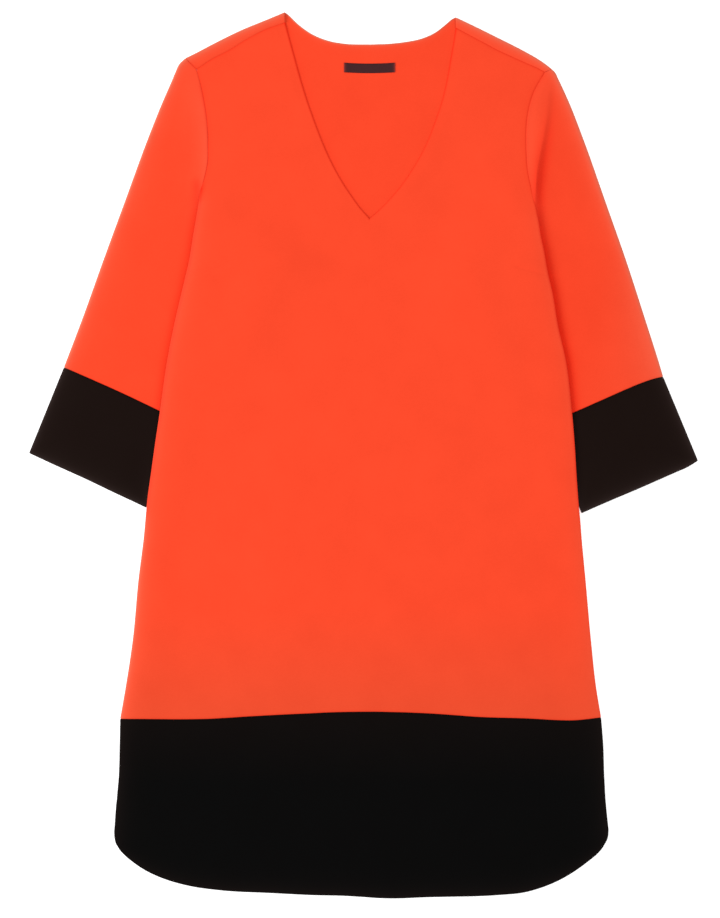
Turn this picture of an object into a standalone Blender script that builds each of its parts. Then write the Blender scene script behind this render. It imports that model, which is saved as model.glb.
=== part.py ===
"""A shift dress with black sleeve and hem bands, laid flat with its front up.

The tables are in millimetres: x runs across the dress, y along it from the hem to the neck, and
z up from the surface that it lies on. Left and right are as seen from above.

Each panel is the open outer surface of its cloth with a Solidify wall going inwards. The back
lies on the surface and the front on the back. Below the armholes the body lies on the sleeves,
so it is lifted there by the thickness of a sleeve, and it comes down again inside of them.
"""

import math

import bmesh
import bpy

MM = 0.001

# Cloth and the way it is laid
CLOTH = 1.2  # wall of every panel
LAYER_GAP = 0.35  # between two layers that lie on each other
SEAM_GAP = 0.3  # between two pieces at a seam
SIDE_GAP = 0.36  # between the front's and the back's edges where they meet at the sides
TIP_GAP = 0.8  # between the back's fold and the sleeve's at the shoulder's tip, where they turn
EDGE_RADIUS = 1.35  # bend of a side edge
EDGE_STRAIGHT = 0.2  # upright stretch at the side seam
FRONT_TOP = 2 * CLOTH + LAYER_GAP
FOLD_HEIGHT = 2 * (EDGE_RADIUS + EDGE_STRAIGHT) + SIDE_GAP
EDGE_PUFF = FOLD_HEIGHT - FRONT_TOP  # a folded edge stands this much above the flat cloth
PUFF_REACH = 9.0
SLEEVE_LIFT = FOLD_HEIGHT + LAYER_GAP  # of the body where it lies on a sleeve

# Columns of a half panel, counted in from the side edge
RAMP_START = 8.0  # the ramp down off a sleeve starts this far inside of the sleeve
RAMP = 22.0
LEAST_LEVEL = 15.0  # width that stays at the edge's own height
INNER_COLUMNS = 4
NECK_COLUMNS = 4  # of the back between a neck point and the middle
FOLD_STEPS = 4  # of a half turn
TIP_COLUMNS = 2  # of a sleeve between the shoulder's tip and the first row of the front

# Side of the body, row by row: the side edge's place, how far in under the body the sleeve
# reaches, and the shares of the lift and of the edge's bend that the row has.
SIDE_COLUMNS = ("left_x", "left_y", "right_x", "right_y", "left_tuck", "right_tuck", "lift", "bend")
SIDE_ROWS = {
    "shoulder": (-183.0, 423.5, 198.5, 420.5, 0, 0, 0, 0),
    "arm_1": (-176.0, 395.0, 185.0, 395.0, 0, 0, 0, 0),
    "arm_2": (-172.0, 370.0, 179.0, 369.0, 0, 0, 0, 0),
    "arm_3": (-170.5, 343.5, 178.0, 340.5, 0, 0, 0, 0),
    "arm_4": (-171.0, 320.5, 179.0, 313.0, 0, 0, 0.12, 0),
    "arm_5": (-174.5, 304.0, 181.5, 292.0, 0, 0, 0.5, 0),
    "arm_end": (-179.5, 291.0, 188.0, 276.0, 0, 0, 1, 1),
    "under_1": (-183.0, 274.5, 193.0, 258.0, 5, 5, 1, 1),
    "under_2": (-186.5, 256.0, 196.0, 239.5, 11.5, 11.5, 1, 1),
    "vee": (-190.0, 238.5, 199.5, 223.0, 25, 25, 1, 1),
    "under_4": (-191.5, 225.5, 201.5, 211.0, 46, 45, 1, 1),
    "underarm": (-193.5, 215.5, 203.0, 202.5, 69, 68, 1, 1),
    "bust": (-198.5, 193.5, 208.0, 179.5, 64, 64, 1, 1),
    "ribs": (-209.0, 148.5, 214.0, 143.0, 57, 57, 1, 1),
    "waist": (-217.5, 105.0, 223.0, 102.5, 46, 51, 1, 1),
    "hip_1": (-224.5, 50.0, 229.5, 49.0, 29, 34, 1, 1),
    "hip_2": (-229.5, 11.5, 231.5, 10.5, 16.5, 21, 1, 1),
    "hip_3": (-233.5, -21.5, 233.5, -25.5, 7.5, 9.5, 1, 1),
    "cuff_end": (-237.0, -48.5, 235.5, -55.0, 0, 0, 1, 1),
    "below_cuff": (-238.5, -67.5, 237.0, -73.0, 0, 0, 0.35, 1),
    "skirt_1": (-240.5, -88.0, 238.5, -92.5, 0, 0, 0, 1),
    "skirt_2": (-246.5, -136.5, 242.5, -138.5, 0, 0, 0, 1),
    "skirt_3": (-252.5, -202.0, 248.5, -203.0, 0, 0, 0, 1),
    "skirt_4": (-260.0, -251.5, 254.0, -252.0, 0, 0, 0, 1),
    "band_seam": (-266.5, -288.5, 259.5, -287.0, 0, 0, 0, 1),
}
ROW_NAMES = list(SIDE_ROWS)
ARM_END_ROW = ROW_NAMES.index("arm_end")
UNDERARM_ROW = ROW_NAMES.index("underarm")
CUFF_END_ROW = ROW_NAMES.index("cuff_end")

# The front's V neck: its edge on each side in the rows that it cuts, down to its point
NECK_EDGE_COLUMNS = ("left_x", "left_y", "right_x", "right_y")
NECK_EDGE = {
    "shoulder": (-86.0, 475.0, 101.0, 469.0),
    "arm_1": (-76.5, 438.0, 95.0, 437.0),
    "arm_2": (-66.0, 400.5, 88.0, 400.5),
    "arm_3": (-55.0, 368.0, 78.0, 368.0),
    "arm_4": (-42.5, 336.0, 64.0, 336.0),
    "arm_5": (-32.5, 315.0, 49.5, 315.0),
    "arm_end": (-24.0, 300.0, 41.5, 300.0),
    "under_1": (-15.0, 286.5, 31.0, 286.5),
    "under_2": (-4.0, 271.5, 16.5, 271.5),
    "vee": (6.5, 258.0, 6.5, 258.0),
}
CENTRE_X = 6.5
NECK_X = {"left": -86.5, "right": 100.5}  # neck points, which the back's inner columns hang from
# Height of each row where it crosses the middle of the back, below the neckline
BACK_CENTRE_Y = {
    "shoulder": 433.5, "arm_1": 409.5, "arm_2": 383.0, "arm_3": 357.0, "arm_4": 330.5,
    "arm_5": 311.0, "arm_end": 294.5, "under_1": 278.0, "under_2": 261.5, "vee": 251.5,
}
NECKLINE_SHARE = {"shoulder": 0.7, "arm_1": 0.35, "arm_2": 0.12}  # rows that follow the neckline
# Height of each row where it crosses the middle of the front and back, below the V
CENTRE_Y = {
    "under_4": 239.5, "underarm": 223.0, "bust": 198.0, "ribs": 152.0, "waist": 108.0,
    "hip_1": 52.0, "hip_2": 12.5, "hip_3": -21.5, "cuff_end": -50.0, "below_cuff": -68.5,
    "skirt_1": -89.0, "skirt_2": -135.0, "skirt_3": -199.0, "skirt_4": -246.0,
    "band_seam": -281.0,
}

# Outlines as (x, y) points, each from the armhole inwards or from the top down
SHOULDER_FOLD = {
    "left": ((-194.0, 434.5), (-168.0, 449.0), (-135.0, 465.5), (-102.0, 479.0), (-86.5, 485.5)),
    "right": ((207.5, 424.5), (177.5, 442.0), (144.5, 459.0), (111.5, 475.0), (100.5, 480.0)),
}
SHOULDER_SEAM = {
    "left": ((-183.0, 423.5), (-168.5, 433.5), (-147.5, 444.5), (-130.0, 455.5), (-109.5, 466.5),
             (-86.0, 475.0)),
    "right": ((198.5, 420.5), (192.0, 424.0), (171.0, 433.5), (145.0, 445.5), (126.5, 455.5),
              (101.0, 469.0)),
}
NECKLINE = {
    "left": ((-86.5, 485.5), (-69.5, 470.0), (-53.0, 459.5), (-36.5, 453.5), (-20.0, 451.0),
             (6.5, 450.0)),
    "right": ((100.5, 480.0), (95.0, 476.5), (78.5, 463.5), (62.0, 456.5), (46.0, 453.0),
              (29.5, 451.0), (6.5, 450.0)),
}
SLEEVE_OUTLINE = {
    "left": ((-194.0, 434.5), (-201.0, 429.0), (-206.0, 419.5), (-209.5, 411.0), (-219.0, 389.0),
             (-236.5, 345.5), (-261.0, 279.5), (-285.0, 214.0), (-308.5, 148.0), (-328.0, 96.5)),
    "right": ((207.5, 424.5), (210.0, 418.0), (213.5, 411.0), (223.5, 389.0), (240.5, 345.5),
              (264.0, 279.5), (287.0, 214.0), (308.5, 148.0), (322.5, 104.0), (328.0, 86.5)),
}
SLEEVE_RINGS = (0.0, 0.03, 0.07, 0.13, 0.22, 0.34, 0.48, 0.64, 0.8, 0.92, 1.0)
# Corners of the black sleeve bands: at the seam and at the open end
CUFF_SEAM = {
    "left": ((-328.0, 96.5), (-202.5, 36.5)),
    "right": ((328.0, 86.5), (201.5, 29.5)),
}
CUFF_END = {
    "left": ((-366.5, 4.5), (-240.5, -55.5)),
    "right": ((366.5, -5.5), (240.0, -62.0)),
}
CUFF_STEPS = 2
SEEN_SHARE = 0.42  # of a ring's columns' width at the band that hangs from the visible armhole

# The hem bands: the seam that joins them, their sides, and the hem with its rounded corners
BAND_SEAM_DIP = (
    (-266.5, -288.5), (-168.5, -288.5), (-119.0, -285.5), (-70.0, -283.0), (-20.5, -281.0),
    (29.0, -281.0), (78.0, -283.0), (127.5, -286.5), (176.5, -288.0), (231.5, -290.0),
    (259.5, -287.0),
)
BAND_SIDE = {
    "left": ((-266.5, -288.5), (-267.5, -317.0), (-268.5, -350.0), (-271.5, -383.0),
             (-273.5, -412.5)),
    "right": ((259.5, -287.0), (262.5, -317.0), (263.5, -350.0), (265.5, -383.0),
              (268.0, -410.5)),
}
HEM = (
    (-273.5, -412.5), (-273.0, -419.0), (-271.5, -425.5), (-266.0, -433.5), (-254.5, -444.0),
    (-239.0, -454.5), (-217.5, -464.0), (-192.5, -471.0), (-155.5, -476.5), (-103.0, -479.5),
    (-48.0, -482.5), (6.5, -485.0), (39.5, -485.5), (94.5, -483.5), (144.0, -481.5),
    (176.5, -478.5), (193.5, -473.5), (210.0, -467.0), (226.5, -458.0), (243.0, -446.5),
    (259.5, -432.0), (265.5, -423.0), (267.5, -417.0), (268.0, -410.5),
)
# Rows of a hem band: share of its depth, and share of the side edge's bend, which ends where the
# side seam does, at the start of the corner's rounding
BAND_ROWS = ((0.0, 1), (0.25, 1), (0.5, 1), (0.72, 1), (1.0, 0))

# Soft relief of the top layer: the middle, reach along and across, turn and height of each swell
SWELL_COLUMNS = ("x", "y", "along", "across", "turn_deg", "height")
FRONT_SWELLS = {
    "left_bust": (-108.0, 196.0, 62, 52, 20, 2.6),
    "right_bust": (122.0, 193.0, 62, 52, -20, 2.6),
    "neck_point": (6.5, 246.0, 22, 16, 90, 0.8),
}
SLEEVE_SWELLS = {
    "left_armhole_roll": (-199.0, 318.0, 34, 7, 76, 1.3),
    "right_armhole_roll": (207.5, 318.0, 46, 7, 101, 1.5),
}

# The label inside the back neck
LABEL_SIZE = (55.5, 10.5, 1.0)
LABEL_MIDDLE = (6.25, 425.0)
LABEL_EDGE = 0.25

ORANGE = (0.97, 0.075, 0.026)
BLACK = (0.012, 0.008, 0.008)
LABEL_BLACK = (0.02, 0.008, 0.012)


def smooth(share):
    """Eased step from 0 to 1."""
    share = min(max(share, 0.0), 1.0)
    return share * share * (3 - 2 * share)


def blend(a, b, share):
    """The point or number between a and b."""
    if isinstance(a, (int, float)):
        return a + (b - a) * share
    return tuple(p + (q - p) * share for p, q in zip(a, b))


def along(points, share):
    """The point at a share of a polyline's length."""
    lengths = [math.dist(a, b) for a, b in zip(points, points[1:])]
    left = min(max(share, 0.0), 1.0) * sum(lengths)
    for a, b, length in zip(points, points[1:], lengths):
        if left <= length:
            return blend(a, b, left / length)
        left -= length
    return points[-1]


def height_at(points, x):
    """The y of an outline at x, for points that run from left to right."""
    for a, b in zip(points, points[1:]):
        if x <= b[0]:
            return blend(a[1], b[1], max(0.0, (x - a[0]) / (b[0] - a[0])))
    return points[-1][1]


def swell(x, y, swells):
    """Height of the top layer's relief."""
    total = 0.0
    for row in swells.values():
        s = dict(zip(SWELL_COLUMNS, row))
        turn = math.radians(s["turn_deg"])
        dx, dy = x - s["x"], y - s["y"]
        u = (dx * math.cos(turn) + dy * math.sin(turn)) / s["along"]
        v = (dy * math.cos(turn) - dx * math.sin(turn)) / s["across"]
        total += s["height"] * math.exp(-u * u - v * v)
    return total


def side_row(name, side):
    """One side's values of a row, with the side's name taken off the columns."""
    values = dict(zip(SIDE_COLUMNS, SIDE_ROWS[name]))
    return {key.replace(side + "_", ""): value for key, value in values.items()}


def edge_profile(bend):
    """Distances in from the edge and drops below the top of the four outermost columns."""
    slant = EDGE_RADIUS * (1 - math.sqrt(0.5))
    flat = ((0.0, 0.0), (0.5, 0.0), (1.0, 0.0), (1.5, 0.0))
    bent = (
        (0.0, EDGE_RADIUS + EDGE_STRAIGHT),
        (0.0, EDGE_RADIUS),
        (slant, slant),
        (EDGE_RADIUS, 0.0),
    )
    return [blend(a, b, bend) for a, b in zip(flat, bent)]


def distances(width, tuck):
    """How far the inner columns lie from the edge: level, down the ramp, then evenly inwards."""
    level = max(tuck + RAMP_START, LEAST_LEVEL)
    stops = [PUFF_REACH, (PUFF_REACH + level) / 2, level, level + RAMP / 2, level + RAMP]
    step = (width - stops[-1]) / INNER_COLUMNS
    return stops + [stops[-1] + step * (i + 1) for i in range(INNER_COLUMNS)]


def lifted(row, distance):
    """How far a body panel stands above the surface, at a distance from its side edge."""
    level = max(row["tuck"] + RAMP_START, LEAST_LEVEL)
    return SLEEVE_LIFT * row["lift"] * (1 - smooth((distance - level) / RAMP))


def front_point(x, y, distance, row, drop=0.0):
    """A point of the front's upper surface."""
    puff = EDGE_PUFF * row["bend"] * (1 - smooth(distance / PUFF_REACH))
    return (x, y, FRONT_TOP + puff + lifted(row, distance) + swell(x, y, FRONT_SWELLS) - drop)


def front_half(name, side):
    """One half of a front row, from the side edge to the V's edge or the middle."""
    row = side_row(name, side)
    inwards = 1 if side == "left" else -1
    edge = (row["x"], row["y"])
    if name in NECK_EDGE:
        neck = dict(zip(NECK_EDGE_COLUMNS, NECK_EDGE[name]))
        inner = (neck[side + "_x"], neck[side + "_y"])
    else:
        inner = (CENTRE_X, CENTRE_Y[name])
    width = abs(inner[0] - edge[0])
    points = []
    columns = [*edge_profile(row["bend"]), *((d, 0.0) for d in distances(width, row["tuck"]))]
    for distance, drop in columns:
        x = edge[0] + inwards * distance
        y = blend(edge[1], inner[1], distance / width)
        if name == "shoulder":
            x, y = seam_point(side, distance / width)
        if name == "band_seam":
            y = height_at(BAND_SEAM_DIP, x)
        points.append(front_point(x, y, distance, row, drop))
    return points


def seam_point(side, share):
    """The front's side of the shoulder seam, a gap below the seam line."""
    fold, seam = along(SHOULDER_FOLD[side], share), along(SHOULDER_SEAM[side], share)
    reach = math.dist(fold, seam)
    return blend(fold, seam, (reach + SEAM_GAP) / reach)


def front_panel():
    return [front_half(n, "left") + front_half(n, "right")[::-1] for n in ROW_NAMES]


def back_point(x, y, distance, row, rise=0.0):
    """A point of the back's underside."""
    return (x, y, lifted(row, distance) + rise)


def back_half(name, side):
    """One half of a back row, from the side edge past the neck point's column to the middle."""
    row = side_row(name, side)
    inwards = 1 if side == "left" else -1
    edge = (row["x"], row["y"])
    if name in NECK_EDGE:
        neck = dict(zip(NECK_EDGE_COLUMNS, NECK_EDGE[name]))
        front_inner = (neck[side + "_x"], neck[side + "_y"])
        centre_y = BACK_CENTRE_Y[name]
    else:
        front_inner = (CENTRE_X, CENTRE_Y[name])
        centre_y = CENTRE_Y[name]
    slope = (front_inner[1] - edge[1]) / (front_inner[0] - edge[0])
    width = abs(NECK_X[side] - edge[0])
    points = []
    columns = [*edge_profile(row["bend"]), *((d, 0.0) for d in distances(width, row["tuck"]))]
    for distance, rise in columns:
        x = edge[0] + inwards * distance
        y = edge[1] + (x - edge[0]) * slope
        if name == "shoulder":
            x, y = along(SHOULDER_SEAM[side], distance / width)
        if name == "band_seam":
            y = height_at(BAND_SEAM_DIP, x)
        points.append(back_point(x, y, distance, row, rise))
    neck_column = points[-1]
    neckline = NECKLINE[side]
    for i in range(1, NECK_COLUMNS + 1):
        share = i / NECK_COLUMNS
        x = blend(neck_column[0], CENTRE_X, share)
        y = blend(neck_column[1], centre_y, share)
        curve = along(neckline, share)
        chord = blend(neckline[0], neckline[-1], share)
        follow = NECKLINE_SHARE.get(name, 0.0)
        x += follow * (curve[0] - chord[0])
        y += follow * (curve[1] - chord[1])
        if name == "band_seam":
            y = height_at(BAND_SEAM_DIP, x)
        distance = abs(x - edge[0])
        points.append(back_point(x, y, distance, row))
    return points


def shoulder_rows(side):
    """The back's rows over the shoulder: round the fold, and down the front to its seam.

    The first one also follows the neckline, and the rest end at the neck point.
    """
    row = side_row("shoulder", side)
    width = abs(NECK_X[side] - row["x"])
    columns = [d for d, _ in edge_profile(0.0)] + distances(width, 0.0)
    radius = FOLD_HEIGHT / 2
    rows = []
    for step in range(FOLD_STEPS + 1):
        turn = math.pi * step / FOLD_STEPS
        points = []
        for distance in columns:
            fold = along(SHOULDER_FOLD[side], distance / width)
            seam = along(SHOULDER_SEAM[side], distance / width)
            inset = radius * (1 - math.sin(turn)) / math.dist(fold, seam)
            x, y = blend(fold, seam, inset)
            points.append((x, y, radius * (1 - math.cos(turn))))
        rows.append(points)
    for share in (0.5, 1.0):
        points = []
        for distance in columns:
            fold = along(SHOULDER_FOLD[side], distance / width)
            seam = along(SHOULDER_SEAM[side], distance / width)
            x, y = blend(fold, seam, share)
            points.append((x, y, blend(FOLD_HEIGHT, FRONT_TOP, smooth(share))))
        rows.append(points)
    start = rows[0][-1]
    neckline = NECKLINE[side]
    for i in range(1, NECK_COLUMNS + 1):
        share = i / NECK_COLUMNS
        x, y = along(neckline, share)
        shift = (1 - share) * (start[1] - neckline[0][1])
        rows[0].append((x, y + shift, 0.0))
    for points in rows[1:]:
        points.extend([None] * NECK_COLUMNS)
    return rows


def back_panel():
    """Rows from the shoulder seams back over the shoulders and down to the hem-band seam."""
    over = [a + b[::-1] for a, b in zip(shoulder_rows("left"), shoulder_rows("right"))]
    down = [back_half(n, "left") + back_half(n, "right")[::-1] for n in ROW_NAMES]
    return over[::-1] + down


def armhole(side):
    """The armhole from the shoulder's tip down the seam and in under the body to the underarm."""
    inwards = 1 if side == "left" else -1
    tip = SHOULDER_FOLD[side][0]
    seam = SHOULDER_SEAM[side][0]
    points = [tip, blend(tip, seam, 0.5)]
    for name in ROW_NAMES[:UNDERARM_ROW + 1]:
        row = side_row(name, side)
        points.append((row["x"] + inwards * row["tuck"], row["y"]))
    return points


def sleeve_side_of(points, side):
    """The armhole moved off the body by the seam gap."""
    outwards = -1 if side == "left" else 1
    moved = []
    for i, (x, y) in enumerate(points):
        before, after = points[max(i - 1, 0)], points[min(i + 1, len(points) - 1)]
        dx, dy = after[0] - before[0], after[1] - before[1]
        gap = outwards * (TIP_GAP if i == 0 else SEAM_GAP) / math.hypot(dx, dy)
        moved.append((x - gap * dy, y + gap * dx))
    return moved


def inner_fold(side):
    """The sleeve's hidden fold, from the underarm under the body to the black band."""
    inwards = 1 if side == "left" else -1
    points = []
    for name in ROW_NAMES[UNDERARM_ROW:CUFF_END_ROW]:
        row = side_row(name, side)
        if row["y"] > CUFF_SEAM[side][1][1]:
            points.append((row["x"] + inwards * row["tuck"], row["y"]))
    return points + [CUFF_SEAM[side][1]]


def flat_ring(line):
    """A ring round a flattened tube whose two folds are the line's ends: under and back over."""
    radius = FOLD_HEIGHT / 2

    def fold(tip, towards, start):
        reach = math.dist(tip, towards)
        points = []
        for step in range(FOLD_STEPS + 1):
            turn = start + math.pi * step / FOLD_STEPS
            x, y = blend(tip, towards, radius * (1 - abs(math.sin(turn))) / reach)
            points.append((x, y, radius * (1 - math.cos(turn))))
        return points

    over, under = [], []
    for x, y in line[1:-1]:
        nearest = min(math.dist((x, y), line[0]), math.dist((x, y), line[-1]))
        puff = EDGE_PUFF * (1 - smooth(nearest / PUFF_REACH))
        over.append((x, y, FRONT_TOP + puff + swell(x, y, SLEEVE_SWELLS)))
        under.append((x, y, 0.0))
    first = fold(line[0], line[1], 0.0)
    last = fold(line[-1], line[-2], math.pi)
    return first + over + last + under[::-1]


def sleeve(side):
    """Rings from the armhole down to the black band's seam."""
    hole = sleeve_side_of(armhole(side), side)
    lengths = [0.0]
    for a, b in zip(hole, hole[1:]):
        lengths.append(lengths[-1] + math.dist(a, b))
    shares = [length / lengths[-1] for length in lengths]
    seen, hidden = ARM_END_ROW + TIP_COLUMNS, UNDERARM_ROW - ARM_END_ROW
    end_shares = [SEEN_SHARE * i / seen for i in range(seen)]
    end_shares += [blend(SEEN_SHARE, 1.0, i / hidden) for i in range(hidden + 1)]
    outline, inner = [hole[0], *SLEEVE_OUTLINE[side][1:]], [hole[-1], *inner_fold(side)[1:]]
    end = CUFF_SEAM[side]
    rings = []
    for ring in SLEEVE_RINGS:
        outer_tip, inner_tip = along(outline, ring), along(inner, ring)
        first, last = blend(hole[0], end[0], ring), blend(hole[-1], end[1], ring)
        line = []
        for start, share, end_share in zip(hole, shares, end_shares):
            x, y = blend(start, blend(end[0], end[1], end_share), ring)
            x += (1 - share) * (outer_tip[0] - first[0]) + share * (inner_tip[0] - last[0])
            y += (1 - share) * (outer_tip[1] - first[1]) + share * (inner_tip[1] - last[1])
            line.append((x, y))
        rings.append(flat_ring(line))
    return rings, end_shares


def cuff(side, shares):
    """Rings of the black band, from its seam to its open end."""
    start, end = CUFF_SEAM[side], CUFF_END[side]
    depth = math.dist(start[0], end[0])
    rings = []
    for step in range(CUFF_STEPS + 1):
        part = blend(SEAM_GAP / depth, 1.0, step / CUFF_STEPS)
        outer, inner = blend(start[0], end[0], part), blend(start[1], end[1], part)
        rings.append(flat_ring([blend(outer, inner, share) for share in shares]))
    return rings


def band_row(top_row, step, bend, is_front):
    """A row of a hem band, whose columns hang from those of the panel's last row."""
    left_x, right_x = along(BAND_SIDE["left"], step)[0], along(BAND_SIDE["right"], step)[0]
    top_left, top_right = top_row[0][0], top_row[-1][0]
    hem_left, hem_right = HEM[0][0], HEM[-1][0]
    profile = edge_profile(bend)
    half = len(top_row) // 2
    points = []
    for i, (top_x, _, _) in enumerate(top_row):
        share = (top_x - top_left) / (top_right - top_left)
        x = blend(left_x, right_x, share)
        edge_x, inwards = (left_x, 1) if i < half else (right_x, -1)
        column = i if i < half else len(top_row) - 1 - i
        drop = 0.0
        if column < len(profile):
            distance, drop = profile[column]
            x = edge_x + inwards * distance
            share = (x - left_x) / (right_x - left_x)
        seam_y = height_at(BAND_SEAM_DIP, top_x) - SEAM_GAP
        y = blend(seam_y, height_at(HEM, blend(hem_left, hem_right, share)), step)
        puff = EDGE_PUFF * bend * (1 - smooth(abs(x - edge_x) / PUFF_REACH))
        points.append((x, y, FRONT_TOP + puff - drop if is_front else drop))
    return points


def hem_band(panel, is_front):
    """Rows of a hem band from its seam down to the hem."""
    return [band_row(panel[-1], step, bend, is_front) for step, bend in BAND_ROWS]


def material(name, colour, roughness):
    made = bpy.data.materials.new(name)
    made.use_nodes = True
    shader = made.node_tree.nodes["Principled BSDF"]
    shader.inputs["Base Color"].default_value = (*colour, 1.0)
    shader.inputs["Roughness"].default_value = roughness
    shader.inputs["Metallic"].default_value = 0.0
    made.diffuse_color = (*colour, 1.0)
    return made


def cloth(name, rows, finish, collection, face_up=True, split=None, closed=False):
    """The wall of one piece, from rows of points on its outer surface.

    No faces cross the split column, whose points are merged with the next column's where the
    halves meet. A closed piece's rows are rings.
    """
    shape = bmesh.new()
    made = [[shape.verts.new([c * MM for c in p]) if p else None for p in row] for row in rows]
    for upper, lower in zip(made, made[1:]):
        count = len(upper)
        for i in range(count if closed else count - 1):
            j = (i + 1) % count
            corners = [upper[i], lower[i], lower[j], upper[j]]
            if i == split or None in corners:
                continue
            turn = i % count < count // 2
            for three in ((0, 1, 2), (0, 2, 3)) if turn else ((0, 1, 3), (1, 2, 3)):
                face = [corners[k] for k in three]
                shape.faces.new(face if face_up else face[::-1])
    bmesh.ops.remove_doubles(shape, verts=shape.verts[:], dist=0.01 * MM)
    mesh = bpy.data.meshes.new(name)
    shape.to_mesh(mesh)
    shape.free()
    piece = bpy.data.objects.new(name, mesh)
    collection.objects.link(piece)
    mesh.materials.append(finish)
    wall = piece.modifiers.new("cloth", "SOLIDIFY")
    wall.thickness = CLOTH * MM
    wall.offset = -1.0
    wall.use_even_offset = False
    return piece


def label(finish, collection):
    """The woven label, lying on the inside of the back below the neckline."""
    bpy.ops.mesh.primitive_cube_add(size=1.0)
    piece = bpy.context.object
    piece.name = "neck_label"
    piece.data.name = "neck_label"
    piece.scale = [s * MM for s in LABEL_SIZE]
    z = CLOTH + SEAM_GAP + LABEL_SIZE[2] / 2
    piece.location = (LABEL_MIDDLE[0] * MM, LABEL_MIDDLE[1] * MM, z * MM)
    bpy.ops.object.transform_apply(location=False, rotation=False, scale=True)
    edge = piece.modifiers.new("edge", "BEVEL")
    edge.width = LABEL_EDGE * MM
    edge.segments = 1
    piece.data.materials.append(finish)
    for holder in piece.users_collection:
        holder.objects.unlink(piece)
    collection.objects.link(piece)


def main():
    for old in list(bpy.data.objects):
        bpy.data.objects.remove(old, do_unlink=True)
    dress = bpy.data.collections.new("shift_dress")
    bpy.context.scene.collection.children.link(dress)
    orange = material("orange_crepe", ORANGE, 0.75)
    black = material("black_crepe", BLACK, 0.7)

    front, back = front_panel(), back_panel()
    cloth("front_panel", front, orange, dress, split=len(front[0]) // 2 - 1)
    cloth("back_panel", back, orange, dress, face_up=False, split=len(back[0]) // 2 - 1)
    for name, panel, is_front in (("front_hem_band", front, True), ("back_hem_band", back, False)):
        rows = hem_band(panel, is_front)
        cloth(name, rows, black, dress, face_up=is_front, split=len(rows[0]) // 2 - 1)
    for side in ("left", "right"):
        rings, shares = sleeve(side)
        face_up = side == "left"
        cloth(side + "_sleeve", rings, orange, dress, face_up=face_up, closed=True)
        cloth(side + "_cuff", cuff(side, shares), black, dress, face_up=face_up, closed=True)
    label(material("label_satin", LABEL_BLACK, 0.45), dress)


main()
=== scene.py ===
"""The looks of a V-neck shift dress with black bands, laid flat with its front up.

Lengths in the tables are in millimetres: x runs across the dress, y along it from the hem to the
neck, and z up from the surface that it lies on. Left and right are as seen from above. A station
is a distance down the side of the body, from the shoulder's tip.

Every piece of cloth is a fine grid over the cut of its piece. The top layer has soft folds, the
seams turn down into a groove, and the free edges are turned under. Its colour carries painted
shade beside the seams, along the V and where the body lies on a sleeve, and painted highlights
along the folds and free edges; the sleeves and the back have a darker copy of the crepe as
painted shade.
"""

import math

import bmesh
import bpy
import numpy as np
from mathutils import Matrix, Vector


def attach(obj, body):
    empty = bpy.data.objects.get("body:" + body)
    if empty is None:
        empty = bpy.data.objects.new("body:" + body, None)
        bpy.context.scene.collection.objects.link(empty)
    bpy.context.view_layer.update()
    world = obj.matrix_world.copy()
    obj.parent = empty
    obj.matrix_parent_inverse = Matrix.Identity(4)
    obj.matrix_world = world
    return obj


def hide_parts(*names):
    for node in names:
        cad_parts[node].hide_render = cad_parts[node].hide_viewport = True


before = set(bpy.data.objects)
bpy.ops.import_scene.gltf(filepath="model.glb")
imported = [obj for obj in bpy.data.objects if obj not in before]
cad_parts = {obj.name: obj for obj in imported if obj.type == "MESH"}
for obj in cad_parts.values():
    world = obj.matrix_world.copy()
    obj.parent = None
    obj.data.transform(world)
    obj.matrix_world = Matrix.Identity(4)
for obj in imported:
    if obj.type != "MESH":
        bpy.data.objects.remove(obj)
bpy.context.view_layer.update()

MM = 0.001

# Cloth and the way that it lies
CLOTH = 0.9  # wall of every piece
FRONT_TOP = 2.75  # upper side of the front, where it lies flat on the back
FOLD_HEIGHT = 3.46  # of a folded edge
FOLD_RADIUS = FOLD_HEIGHT / 2
FOLD_REACH = 3.2  # how far a sleeve's fold bends inwards
PUFF_REACH = 14.0  # a sleeve is higher than where it lies flat, up to this far from its folds
CORNER_REACH = 4.5  # bend of a side edge, where the front meets the back
CORNER_HEIGHT = 1.35
EDGE_STRAIGHT = 0.33  # upright stretch of each at the side seam
SIDE_TUCK = 0.22  # depth of the side seam's groove
ROLL_HEIGHT = 0.9  # of the cloth's crest inside of a side edge
ROLL_CREST = 12.0
ROLL_FALL = 40.0
RAMP_START = 8.0  # the body comes down off a sleeve from this far inside of the sleeve
LEAST_LEVEL = 15.0  # and from at least this far inside of its own edge
BACK_RAMP = 22.0  # the back comes down over this width
FRONT_RAMP = 80.0  # and the front over this
NECK_FALL = 0.45  # how far the front comes down to the back at the V's edge
NECK_FALL_REACH = 12.0
SLEEVE_CROWN = 0.9  # a sleeve's middle is higher than its folds by this
CROWN_REACH = 45.0  # and that far in from them
FOLD_FREE = 12.0  # a sleeve's soft folds die out so near to its own folds
UPPER_LAYER = FRONT_TOP - 0.4  # what is higher than this is a sleeve's upper layer
SUPPORT_GAP = 0.2  # between a sleeve and the body that lies on it
SUPPORT_RISE = 3.5  # a sleeve rises to carry the body over this width, in from the body's edge
SEAM_BLEND = {"left": 20.0, "right": 9.0}  # a sleeve comes down from its seam over this width

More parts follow.
